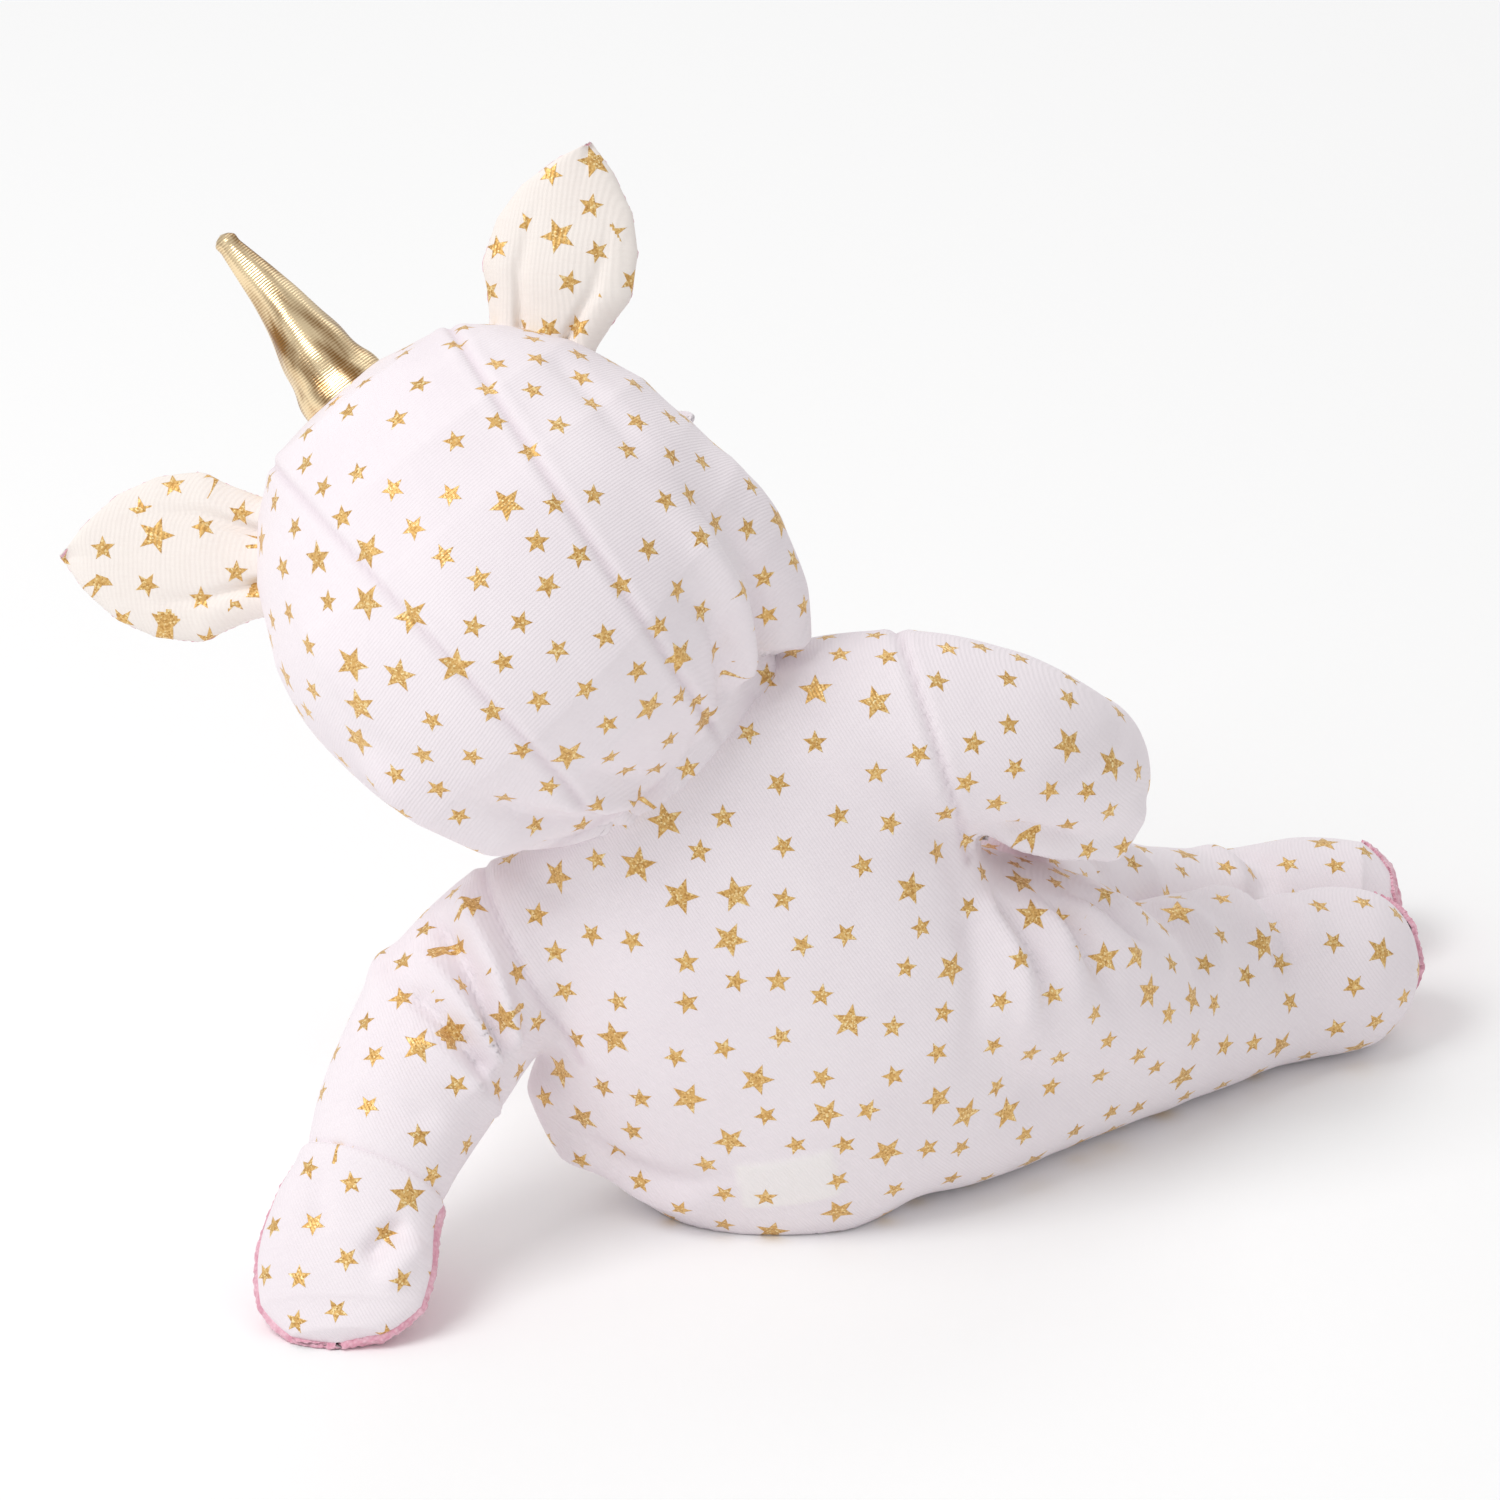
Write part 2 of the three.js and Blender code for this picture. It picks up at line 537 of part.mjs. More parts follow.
// ---- the nodes ----
const pieces = {
  torso_body: [torsoBody, FINISH.cloth],
  suit_back: [clear(panel(0, 0.5)), FINISH.jersey],
  suit_front_left: [clear(panel(0.5, FRONT)), FINISH.jersey],
  suit_front_right: [clear(panel(FRONT, 1)), FINISH.jersey],
  front_placket: [clear(placket), FINISH.jersey],
  care_label: [label, FINISH.label],
  neck_tie: [neckTie, FINISH.tie],
  vinyl_head: [vinylHead, FINISH.skin],
  hood_middle: [hoodMiddle, FINISH.jersey],
  hood_left: [hoodLeft, FINISH.jersey],
  hood_right: [hoodRight, FINISH.jersey],
  hood_lining: [hoodLining, FINISH.plush],
  horn_cover: [hornCover, FINISH.gold],
  horn_filling: [hornFill, FINISH.fill],
};
studs.forEach((solid, i) => {
  pieces[`press_stud_${i + 1}`] = [solid, FINISH.snap];
});
for (const side of ["left", "right"]) {
  pieces[`${side}_ear_back`] = [ears[side].back, FINISH.jersey];
  pieces[`${side}_ear_front`] = [ears[side].front, FINISH.plush];
  pieces[`${side}_sleeve`] = [arms[side].sleeve, FINISH.jersey];
  pieces[`${side}_mitten_back`] = [arms[side].mitten_back, FINISH.jersey];
  pieces[`${side}_mitten_palm`] = [arms[side].mitten_palm, FINISH.plush];
  pieces[`${side}_arm_body`] = [arms[side].body, FINISH.skin];
  pieces[`${side}_arm_tie`] = [arms[side].tie, FINISH.tie];
  pieces[`${side}_trouser`] = [legs[side].trouser, FINISH.jersey];
  pieces[`${side}_foot_upper`] = [legs[side].foot_upper, FINISH.jersey];
  pieces[`${side}_sole`] = [legs[side].sole, FINISH.plush];
  pieces[`${side}_leg_body`] = [legs[side].body, FINISH.skin];
  pieces[`${side}_leg_tie`] = [legs[side].tie, FINISH.tie];
}

// A cut can leave crumbs beside the piece, so only the largest body becomes the mesh.
function meshOf(name, solid, finish) {
  const [kept] = solid.decompose().sort((a, b) => b.volume() - a.volume());
  const { vertProperties, triVerts } = kept.getMesh();
  const geometry = new THREE.BufferGeometry();
  geometry.setAttribute("position", new THREE.BufferAttribute(vertProperties, 3));
  geometry.setIndex(new THREE.BufferAttribute(triVerts, 1));
  const mesh = new THREE.Mesh(geometry, finish);
  mesh.name = name;
  return mesh;
}

const doll = new THREE.Group();
Object.entries(pieces).forEach(([name, [solid, finish]]) => doll.add(meshOf(name, solid, finish)));

// The origin goes to the middle of the box, on the surface that the doll lies on.
const box = new THREE.Box3().setFromObject(doll);
const middle = box.getCenter(new THREE.Vector3());
doll.position.set(-middle.x, -middle.y, -box.min.z);

export default doll;
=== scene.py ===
"""A soft-bodied baby doll in a hooded unicorn sleep suit, lying on its left side and propped on its left arm.

Lengths are worked out in millimetres and become metres when a mesh is made.
"""
import json
import math

import bpy
import numpy as np
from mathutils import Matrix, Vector


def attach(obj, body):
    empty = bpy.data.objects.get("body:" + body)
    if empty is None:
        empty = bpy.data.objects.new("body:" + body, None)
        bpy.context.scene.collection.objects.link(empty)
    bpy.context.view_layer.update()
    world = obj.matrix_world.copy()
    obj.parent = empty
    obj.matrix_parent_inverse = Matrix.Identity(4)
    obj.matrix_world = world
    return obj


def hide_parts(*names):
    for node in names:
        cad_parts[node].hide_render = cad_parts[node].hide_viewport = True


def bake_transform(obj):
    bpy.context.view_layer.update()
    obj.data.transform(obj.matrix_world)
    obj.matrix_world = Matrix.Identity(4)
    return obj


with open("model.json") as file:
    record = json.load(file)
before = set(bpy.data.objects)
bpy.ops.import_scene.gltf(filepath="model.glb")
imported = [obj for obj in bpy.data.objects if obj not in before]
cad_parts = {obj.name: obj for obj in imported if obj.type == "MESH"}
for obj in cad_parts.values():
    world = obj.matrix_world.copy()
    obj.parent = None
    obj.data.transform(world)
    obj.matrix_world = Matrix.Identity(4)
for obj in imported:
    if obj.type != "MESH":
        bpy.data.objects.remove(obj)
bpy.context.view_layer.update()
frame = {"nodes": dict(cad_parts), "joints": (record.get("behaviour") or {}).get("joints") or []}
scene = bpy.context.scene

# ---- Where the joints are ----
# The plan is drawn with the neck at PLAN_NECK; the frame puts it at the neck's joint, and the shift between
# them places every piece.
hinges = {j["name"]: j for j in frame["joints"]}
PLAN_NECK = np.array([-22, 5, 145.0])
SHIFT = np.array(hinges["head_nod"]["pos_m"]) * 1000 - PLAN_NECK


def unit(*vector):
    """The vector divided by its length."""
    v = np.array(vector, float).ravel()
    return v / np.linalg.norm(v)


def hinge_at(name):
    """A joint's point, in the plan's millimetres."""
    return np.array(hinges[name]["pos_m"]) * 1000 - SHIFT


LEFT_SHOULDER = hinge_at("left_arm_swing")
RIGHT_SHOULDER = hinge_at("right_arm_swing")
LEFT_HIP = hinge_at("left_leg_swing")
SHOULDER_LINE = unit(RIGHT_SHOULDER - LEFT_SHOULDER)
LEFT_OUT = -SHOULDER_LINE
RIGHT_OUT = unit(0.95, 0.13, 0.28)
NECK_LINE = unit(-0.56, 0.01, 0.83)
HEAD_CENTRE = np.array([-67.2, 6, 191])
HEAD_RIGHT = unit(0.788, 0.26, 0.558)
HORN_LINE = unit(-0.616, 0.333, 0.714)
HOOD_FRONT = unit(np.cross(HORN_LINE, HEAD_RIGHT))
LEAN = math.radians(30)  # the horn stands this far forward of the crown
FACE_LINE = HOOD_FRONT * math.cos(LEAN) + HORN_LINE * math.sin(LEAN)
CROWN_LINE = HORN_LINE * math.cos(LEAN) - HOOD_FRONT * math.sin(LEAN)

# ---- Camera ----
# A long lens three metres away, level with the doll's feet and looking down at its back by 25 degrees.
CAMERA_AWAY = 3000
CAMERA_DOWN = math.radians(25)
VIEW_WIDTH = 420  # seen at the doll
aim = SHIFT + np.array([0, 0, 142.8])
camera = bpy.data.objects.new("camera", bpy.data.cameras.new("camera"))
scene.collection.objects.link(camera)
camera.data.sensor_width = 36
camera.data.lens = 36 * CAMERA_AWAY / VIEW_WIDTH
camera.data.clip_end = 100
camera.location = (aim - CAMERA_AWAY * np.array([0, math.cos(CAMERA_DOWN), -math.sin(CAMERA_DOWN)])) / 1000
camera.rotation_euler = (math.pi / 2 - CAMERA_DOWN, 0, 0)
scene.camera = camera


# ---- Shapes of the stuffed parts ----
# Each is a row of ellipses carried along a smooth path: stations of a point, a half width along the side
# direction and a half depth across it. They are the same as the frame's solids.
def spline(stations, t, power):
    """A Catmull-Rom curve through the stations at t, from 0 at the first to 1 at the last in equal steps. Its
    knots are as far apart as the stations, to that power."""
    p = np.asarray(stations, float)
    p = np.vstack([2 * p[0] - p[1], p, 2 * p[-1] - p[-2]])
    gap = np.linalg.norm(np.diff(p, axis=0), axis=1) ** power
    gap[gap < 1e-4] = 1
    t = np.clip(np.asarray(t, float), 0, 1) * (len(p) - 3)
    k = np.minimum(t.astype(int), len(p) - 4)
    w = (t - k)[..., None]
    a, b, c = (gap[k + i][..., None] for i in range(3))
    p0, p1, p2, p3 = (p[k + i] for i in range(4))
    m1 = ((p1 - p0) / a - (p2 - p0) / (a + b) + (p2 - p1) / b) * b
    m2 = ((p2 - p1) / b - (p3 - p1) / (b + c) + (p3 - p2) / c) * b
    return p1 + m1 * w + (3 * (p2 - p1) - 2 * m1 - m2) * w**2 + (2 * (p1 - p2) + m1 + m2) * w**3


def loft(stations, side, power=2.0):
    """A function of u round the path, v along it and a distance off the surface. A point is the path's point, plus
    the half width times cos u along the side, plus the half depth times sin u across it."""
    table = np.array([np.hstack(s) for s in stations], float)

    def point(u, v, off=0.0):
        u, v = np.broadcast_arrays(np.asarray(u, float), np.asarray(v, float))
        path = spline(table[:, :3], v, 0.5)
        half = np.maximum(spline(table[:, 3:], v, 1.0), 0)
        ahead, behind = np.clip(v + 0.004, 0, 1), np.clip(v - 0.004, 0, 1)
        step = spline(table[:, :3], ahead, 0.5) - spline(table[:, :3], behind, 0.5)
        length = np.linalg.norm(step, axis=-1, keepdims=True)
        line = step / length
        across = side - (line @ side)[..., None] * line
        across /= np.linalg.norm(across, axis=-1, keepdims=True)
        deep = np.cross(line, across)
        c, s = np.cos(2 * np.pi * u), np.sin(2 * np.pi * u)
        c, s = (np.sign(x) * np.abs(x) ** (2 / power) for x in (c, s))
        slope = (spline(table[:, 3:4], ahead, 1.0) - spline(table[:, 3:4], behind, 1.0)) / length
        wide, thick = half[..., :1], half[..., 1:]
        out = across * c[..., None] * (thick + 1e-3) + deep * s[..., None] * (wide + 1e-3)
        out /= np.linalg.norm(out, axis=-1, keepdims=True) + 1e-9
        out = out - line * np.clip(slope, -4, 4)
        out /= np.linalg.norm(out, axis=-1, keepdims=True)
        return path + across * wide * c[..., None] + deep * thick * s[..., None] + out * np.asarray(off)[..., None]

    return point


HOOD_TOP = HEAD_CENTRE + 73 * HORN_LINE
HOOD_END = PLAN_NECK + 1.2 * NECK_LINE


def between(a, b, share):
    """The point that share of the way from a to b."""
    return a + (b - a) * share


hood_shape = loft([
    (HOOD_TOP, 0, 0),
    (between(HOOD_TOP, HEAD_CENTRE, 0.08), 31, 30),
    (between(HOOD_TOP, HEAD_CENTRE, 0.21), 43.5, 43),
    (between(HOOD_TOP, HEAD_CENTRE, 0.41), 55.5, 56),
    (between(HOOD_TOP, HEAD_CENTRE, 0.7), 65, 65),
    (HEAD_CENTRE, 68.5, 68),
    (between(HEAD_CENTRE, HOOD_END, 0.3), 67.5, 66),
    (between(HEAD_CENTRE, HOOD_END, 0.6), 62, 57),
    (between(HEAD_CENTRE, HOOD_END, 0.82), 52, 42),
    (HOOD_END, 41.5, 28),
], HEAD_RIGHT)
torso_shape = loft([
    ((-22, 5, 144.5), 41, 25),
    ((-18, 4.5, 138), 53, 28),
    ((-9, 4, 121), 62, 34),
    ((-1, 3.5, 100), 64, 38),
    ((6, 4, 75), 69, 41),
    ((15, 7, 53), 70, 42),
    ((27, 11, 35), 64, 41),
    ((40, 15, 22), 52, 36),
    ((48, 18, 13), 32, 24),
    ((51, 19, 10), 0, 0),
], SHOULDER_LINE, 2.2)
ARMHOLE_DEPTH = 12
arm_shape = {
    "left": loft([
        (LEFT_SHOULDER - ARMHOLE_DEPTH * LEFT_OUT, 24, 24),
        (LEFT_SHOULDER + 3 * LEFT_OUT, 25, 25),
        ((-83, -15, 68), 26, 25),
        ((-97, -36, 50), 24.5, 23),
        ((-105, -51, 36), 21.5, 19),
        ((-110, -60, 27.5), 23, 14),
        ((-113, -70, 18), 24.5, 11),
        ((-114, -79, 9), 22.5, 8.5),
        ((-114.5, -86, 3.5), 13, 5),
        ((-114.5, -88, 2), 0, 0),
    ], np.array([0.98, -0.2, 0.05])),
    "right": loft([
        (RIGHT_SHOULDER - ARMHOLE_DEPTH * RIGHT_OUT, 26, 26),
        (RIGHT_SHOULDER + 3 * RIGHT_OUT, 26.5, 26.5),
        ((74, 15, 137), 25.5, 25.5),
        ((88, 25, 125), 24.5, 24.5),
        ((92, 42, 117), 22, 21.5),
        ((89, 56, 112), 22.5, 15),
        ((85, 66, 108.5), 24, 12),
        ((80, 76, 105), 22, 9.5),
        ((75, 84, 102), 12, 5.5),
        ((74, 86, 101), 0, 0),
    ], np.array([0.25, -0.35, 0.9])),
}
LEG_SIDE = np.array([-0.6, 0.78, 0.15])
leg_shape = {
    "left": loft([
        ((36, 4, 30), 28, 28),
        ((59, 20, 28.5), 29.5, 29.5),
        ((86, 43, 28), 29, 29),
        ((111, 63, 27), 28, 28),
        ((134, 81, 25.5), 26.5, 26.5),
        ((152, 94, 23.5), 24, 24.5),
        ((168, 101, 24), 25, 25),
        ((184, 104, 24), 23, 23),
        ((194, 104, 24), 13, 13),
        ((197.5, 104, 24), 0, 0),
    ], LEG_SIDE),
    "right": loft([
        ((60, 22, 68), 24, 24),
        ((69, 46, 66), 24.5, 24.5),
        ((83, 79, 53), 23.5, 24),
        ((104, 113, 36), 22.5, 22.5),
        ((128, 139, 22), 22, 21.5),
        ((149, 154, 18), 20, 19),
        ((166, 161, 17.5), 22, 18.5),
        ((182, 162, 17), 20, 17),
        ((191, 161, 17), 11, 10),
        ((194, 161, 17), 0, 0),
    ], LEG_SIDE),
}


# ---- The suit's body, sleeves and left trouser leg ----
# Fine white cotton jersey printed with gold glitter stars. The back, the fronts, the sleeves and the trouser legs
# are cut as one loose shape round the stuffed body, and sewn together at the armholes and at the ankle.
JERSEY = 1.2  # cloth and its seam allowance
VOXEL = 1.7  # the skin's faces are this wide


def tube(points):
    """Corners and faces of a closed tube from a grid of rows along it and columns round it: neighbours make the
    sides, and each end is a fan round its row's middle."""
    rows, cols = points.shape[:2]
    index = np.arange(rows * cols).reshape(rows, cols)
    after = np.roll(index, -1, axis=1)
    sides = np.stack([index[:-1], after[:-1], after[1:], index[1:]], -1).reshape(-1, 4)
    middles = points[[0, -1]].mean(axis=1)
    first, last = rows * cols, rows * cols + 1
    fans = np.concatenate([
        np.stack([index[0], np.full(cols, first), after[0], after[0]], -1),
        np.stack([after[-1], np.full(cols, last), index[-1], index[-1]], -1),
    ])
    return np.vstack([points.reshape(-1, 3), middles]), np.vstack([sides, fans])


def grid(shape, us, vs, off=0.0):
    """The points of a shape at each v, and round it at each u."""
    return shape(us[None, :], vs[:, None], off)


def around(count):
    return np.arange(count) / count


def raw_mesh(name, points, faces):
    """A mesh from millimetre points and faces of three or four corners, where a three-cornered face repeats its
    last corner."""
    mesh = bpy.data.meshes.new(name)
    corner_keep = np.ones(faces.shape, bool)
    if faces.shape[1] == 4:
        corner_keep[:, 3] = faces[:, 3] != faces[:, 2]
    counts = corner_keep.sum(axis=1)
    mesh.vertices.add(len(points))
    mesh.vertices.foreach_set("co", (np.asarray(points) / 1000).astype(np.float32).ravel())
    mesh.loops.add(int(counts.sum()))
    mesh.loops.foreach_set("vertex_index", faces[corner_keep].astype(np.int32))
    mesh.polygons.add(len(faces))
    mesh.polygons.foreach_set("loop_start", np.concatenate([[0], np.cumsum(counts)[:-1]]).astype(np.int32))
    mesh.update(calc_edges=True)
    mesh.validate()
    return mesh


def read_mesh(mesh):
    """Points in millimetres and four-cornered faces of a mesh."""
    points = np.zeros(len(mesh.vertices) * 3)
    mesh.vertices.foreach_get("co", points)
    corners = np.zeros(len(mesh.loops), np.int64)
    mesh.loops.foreach_get("vertex_index", corners)
    starts = np.zeros(len(mesh.polygons), np.int64)
    totals = np.zeros(len(mesh.polygons), np.int64)
    mesh.polygons.foreach_get("loop_start", starts)
    mesh.polygons.foreach_get("loop_total", totals)
    slots = np.minimum(np.arange(4)[None, :], totals[:, None] - 1)
    return points.reshape(-1, 3) * 1000, corners[starts[:, None] + slots]


def joined(*parts):
    """Several point and face arrays as one."""
    start = np.cumsum([0] + [len(p) for p, _ in parts[:-1]])
    return np.vstack([p for p, _ in parts]), np.vstack([f + s for (_, f), s in zip(parts, start)])


def one_skin(points, faces, voxel):
    """The outer skin of closed shapes that overlap, in faces about one voxel wide."""
    mesh = raw_mesh("rough", points + SHIFT, faces)
    thing = bpy.data.objects.new("rough", mesh)
    scene.collection.objects.link(thing)
    remesh = thing.modifiers.new("remesh", "REMESH")
    remesh.mode = "VOXEL"
    remesh.voxel_size = voxel / 1000
    graph = bpy.context.evaluated_depsgraph_get()
    made = bpy.data.meshes.new_from_object(thing.evaluated_get(graph))
    points, faces = read_mesh(made)
    bpy.data.objects.remove(thing)
    bpy.data.meshes.remove(mesh)
    bpy.data.meshes.remove(made)
    return points - SHIFT, faces


def edges_of(faces):
    """Each edge once, as pairs of corners."""
    pairs = np.concatenate([np.stack([faces[:, i], faces[:, (i + 1) % faces.shape[1]]], -1)
                            for i in range(faces.shape[1])])
    pairs = np.sort(pairs[pairs[:, 0] != pairs[:, 1]], axis=1)
    return np.unique(pairs, axis=0)


def averaged(points, edges, times, share=1.0):
    """Each point moved to the mean of its neighbours, by that share, that many times."""
    count = np.bincount(edges.ravel(), minlength=len(points))[:, None]
    share = np.broadcast_to(np.asarray(share, float).reshape(-1, 1), (len(points), 1))
    for _ in range(times):
        total = np.stack([
            np.bincount(edges[:, 0], points[edges[:, 1], k], len(points))
            + np.bincount(edges[:, 1], points[edges[:, 0], k], len(points)) for k in range(points.shape[1])], -1)
        points = points + (total / np.maximum(count, 1) - points) * share
    return points


def normals_of(points, faces):
    """Outward direction at each point: the sum of its faces' areas as vectors, made one long."""
    across = np.cross(points[faces[:, 2]] - points[faces[:, 0]], points[faces[:, 3]] - points[faces[:, 1]])
    total = np.stack([np.bincount(faces.ravel(), np.repeat(across[:, k], 4), len(points)) for k in range(3)], -1)
    return total / (np.linalg.norm(total, axis=1, keepdims=True) + 1e-9)


def near_path(points, path):
    """For each point, how far it is from a path of straight steps, and how far along the path, from 0 to 1."""
    path = np.asarray(path, float)
    step = np.diff(path, axis=0)
    length = np.linalg.norm(step, axis=1)
    start = np.concatenate([[0], np.cumsum(length)])
    share = np.clip(np.einsum("nkj,kj->nk", points[:, None] - path[:-1], step) / length**2, 0, 1)
    away = np.linalg.norm(points[:, None] - path[:-1] - share[..., None] * step, axis=-1)
    nearest = away.argmin(axis=1)
    rows = np.arange(len(points))
    along = (start[nearest] + share[rows, nearest] * length[nearest]) / start[-1]
    return away[rows, nearest], along


def smooth_path(points, count=12):
    """The same path with that many points, on one smooth curve."""
    return spline(points, np.linspace(0, 1, count), 0.5)


def bell(distance, width):
    """exp(-(distance / width)^2): 1 at no distance, falling to either side."""
    return np.exp(-((distance / width) ** 2))


def fold(points, path, height, width, ends=(0.25, 0.25)):
    """How far a fold lifts each point: its height at the path, falling as a bell beside it, and rising from nothing
    over a share of the path at each end."""
    away, along = near_path(points, smooth_path(path))
    start, end = ends
    rise = np.clip(along / max(start, 1e-3), 0, 1) * np.clip((1 - along) / max(end, 1e-3), 0, 1)
    return height * bell(away, width) * rise * rise * (3 - 2 * rise)


def ruffle(points, size, seed):
    """Gentle unevenness, from -1 to 1: sines in eight seeded directions, size millimetres long, summed."""
    rng = np.random.default_rng(seed)
    way = rng.normal(size=(8, 3))
    way /= np.linalg.norm(way, axis=1, keepdims=True)
    length = size * rng.uniform(0.7, 1.6, 8)
    phase = rng.uniform(0, 2 * np.pi, 8)
    return np.sin(points @ way.T * 2 * np.pi / length + phase).mean(axis=1)


# The print: five-pointed stars, one large to four small, scattered at random and turned at random.
STAR_SPACING = 11.6  # the least distance between two stars' middles
LARGE_STAR, SMALL_STAR = 5.7, 3.9  # from the middle to a point
LARGE_SHARE = 0.2


def star_print(points, faces, normals, seed):
    """A UV map that puts the nearest star's middle at the origin and its points at radius 1: each corner, less the
    star's middle, along two directions across its normal, divided by the star's radius."""
    rng = np.random.default_rng(seed)
    corners = points[faces]
    middle = corners.mean(axis=1)
    area = np.linalg.norm(np.cross(corners[:, 2] - corners[:, 0], corners[:, 3] - corners[:, 1]), axis=1)
    tries = rng.choice(len(faces), 9000, p=area / area.sum())
    kept = np.empty((0, 3))
    chosen = []
    for face in tries:
        if not len(kept) or np.linalg.norm(kept - middle[face], axis=1).min() > STAR_SPACING:
            kept = np.vstack([kept, middle[face]])
            chosen.append(face)
    up = normals[faces[chosen, 0]]
    nearest = np.concatenate([
        np.linalg.norm(part[:, None] - kept, axis=2).argmin(axis=1) for part in np.array_split(middle, 60)])
    along = np.cross(up, rng.normal(size=up.shape))
    along /= np.linalg.norm(along, axis=1, keepdims=True)
    across = np.cross(up, along)
    large = rng.random(len(kept)) < LARGE_SHARE
    radius = np.where(large, LARGE_STAR, SMALL_STAR) * rng.uniform(0.95, 1.05, len(kept))
    away = corners - kept[nearest][:, None]
    flat = np.stack([np.einsum("fcj,fj->fc", away, way[nearest]) for way in (along, across)], -1)
    return flat / radius[nearest, None, None]


def piece_of(name, mesh, material, corner_normals=None):
    """A mesh as an object at the origin, smooth, with its material, and with its own normals where given."""
    thing = bpy.data.objects.new(name, mesh)
    scene.collection.objects.link(thing)
    mesh.materials.append(material)
    mesh.polygons.foreach_set("use_smooth", np.ones(len(mesh.polygons), bool))
    if corner_normals is not None:
        mesh.normals_split_custom_set(corner_normals)
    return thing


FAR_FROM_STARS = 9.0  # where the inner wall and the rim lie on the map


def cloth(name, points, faces, normals, material, keep=None, uv=None, thick=JERSEY, marks=None):
    """Some of a skin's faces as a wall of cloth. The inner wall is the outer one less its thickness along the
    normals, and the free edges are closed between the two. Marks are named amounts at each point, for the
    material."""
    faces = faces if keep is None else faces[keep]
    used, small = np.unique(faces, return_inverse=True)
    small = small.reshape(faces.shape)
    count = len(used)
    outer, out = points[used], normals[used]
    here = np.concatenate([np.stack([small[:, i], small[:, (i + 1) % 4]], -1) for i in range(4)])
    here = here[here[:, 0] != here[:, 1]]
    free = here[~np.isin(here[:, 0] * count + here[:, 1], here[:, 1] * count + here[:, 0])]
    rim = np.stack([free[:, 1], free[:, 0], free[:, 0] + count, free[:, 1] + count], -1)
    inner = small[:, [0, 3, 2, 1]] + count
    flat = small[:, 2] == small[:, 3]
    inner[flat] = small[flat][:, [0, 2, 1, 1]] + count
    every = np.vstack([small, inner, rim])
    wall = np.broadcast_to(thick, len(points))[used][:, None]
    mesh = raw_mesh(name, np.vstack([outer, outer - out * wall]) + SHIFT, every)
    real = np.ones(every.shape, bool)
    real[:, 3] = every[:, 3] != every[:, 2]
    facing = np.vstack([out, -out])[every]
    corner = np.vstack([outer, outer - out * wall])[rim]
    rim_normal = np.cross(corner[:, 2] - corner[:, 0], corner[:, 3] - corner[:, 1])
    rim_normal /= np.linalg.norm(rim_normal, axis=1, keepdims=True) + 1e-9
    facing[len(small) * 2:] = rim_normal[:, None]
    if uv is not None:
        uv = uv if keep is None else uv[keep]
        corner_uv = np.full((*every.shape, 2), FAR_FROM_STARS)
        corner_uv[:len(small)] = uv
        layer = mesh.uv_layers.new(name="stars")
        layer.data.foreach_set("uv", corner_uv[real].astype(np.float32).ravel())
    for mark, amount in (marks or {}).items():
        mesh.attributes.new(mark, "FLOAT", "POINT").data.foreach_set(
            "value", np.tile(amount[used], 2).astype(np.float32))
    return piece_of(name, mesh, material, facing[real])


def linear(hex_colour):
    """A colour of six sRGB hex digits as linear red, green, blue and one."""
    s = np.array([int(hex_colour[i:i + 2], 16) for i in (0, 2, 4)]) / 255
    return (*np.where(s <= 0.04045, s / 12.92, ((s + 0.055) / 1.055) ** 2.4), 1.0)


def node(tree, kind, sockets=None, **settings):
    """A new node with its settings, and its sockets set or linked by name or number."""
    made = tree.nodes.new("ShaderNode" + kind)
    for name, value in settings.items():
        setattr(made, name, value)
    for socket, value in (sockets or {}).items():
        if isinstance(value, bpy.types.NodeSocket):
            tree.links.new(value, made.inputs[socket])
        else:
            made.inputs[socket].default_value = value
    return made


def finish_of(name, **sockets):
    """A new material: its node tree, its shader with the sockets set (an underscore stands for a space), and the
    place on the mesh that its patterns read."""
    made = bpy.data.materials.new(name)
    made.use_nodes = True
    tree = made.node_tree
    tree.nodes.clear()
    shader = node(tree, "BsdfPrincipled", {socket.replace("_", " "): value for socket, value in sockets.items()})
    node(tree, "OutputMaterial", {"Surface": shader.outputs["BSDF"]})
    return made, tree, shader, node(tree, "TexCoord").outputs["Object"]


def show(tree, shader, colour, relief=None, strength=0.0, depth=0.0):
    """Links a colour to the shader, and a relief, if there is one, as a bump that many metres deep."""
    tree.links.new(colour, shader.inputs["Base Color"])
    if relief is not None:
        bump = node(tree, "Bump", {"Height": relief, "Strength": strength, "Distance": depth})
        tree.links.new(bump.outputs["Normal"], shader.inputs["Normal"])


WAVE = 0.314  # a wave texture of scale 1 repeats every 0.314 m
SEAM_PAINTED_SHADE = "DFD0D8"  # painted shade in a seam's groove
LABEL_TINT = "FBF8F4"  # white tape behind the cloth
POINT_SECTOR = math.pi / 5
STAR_WAIST = 0.43  # the notch between two points, as a share of a point's radius


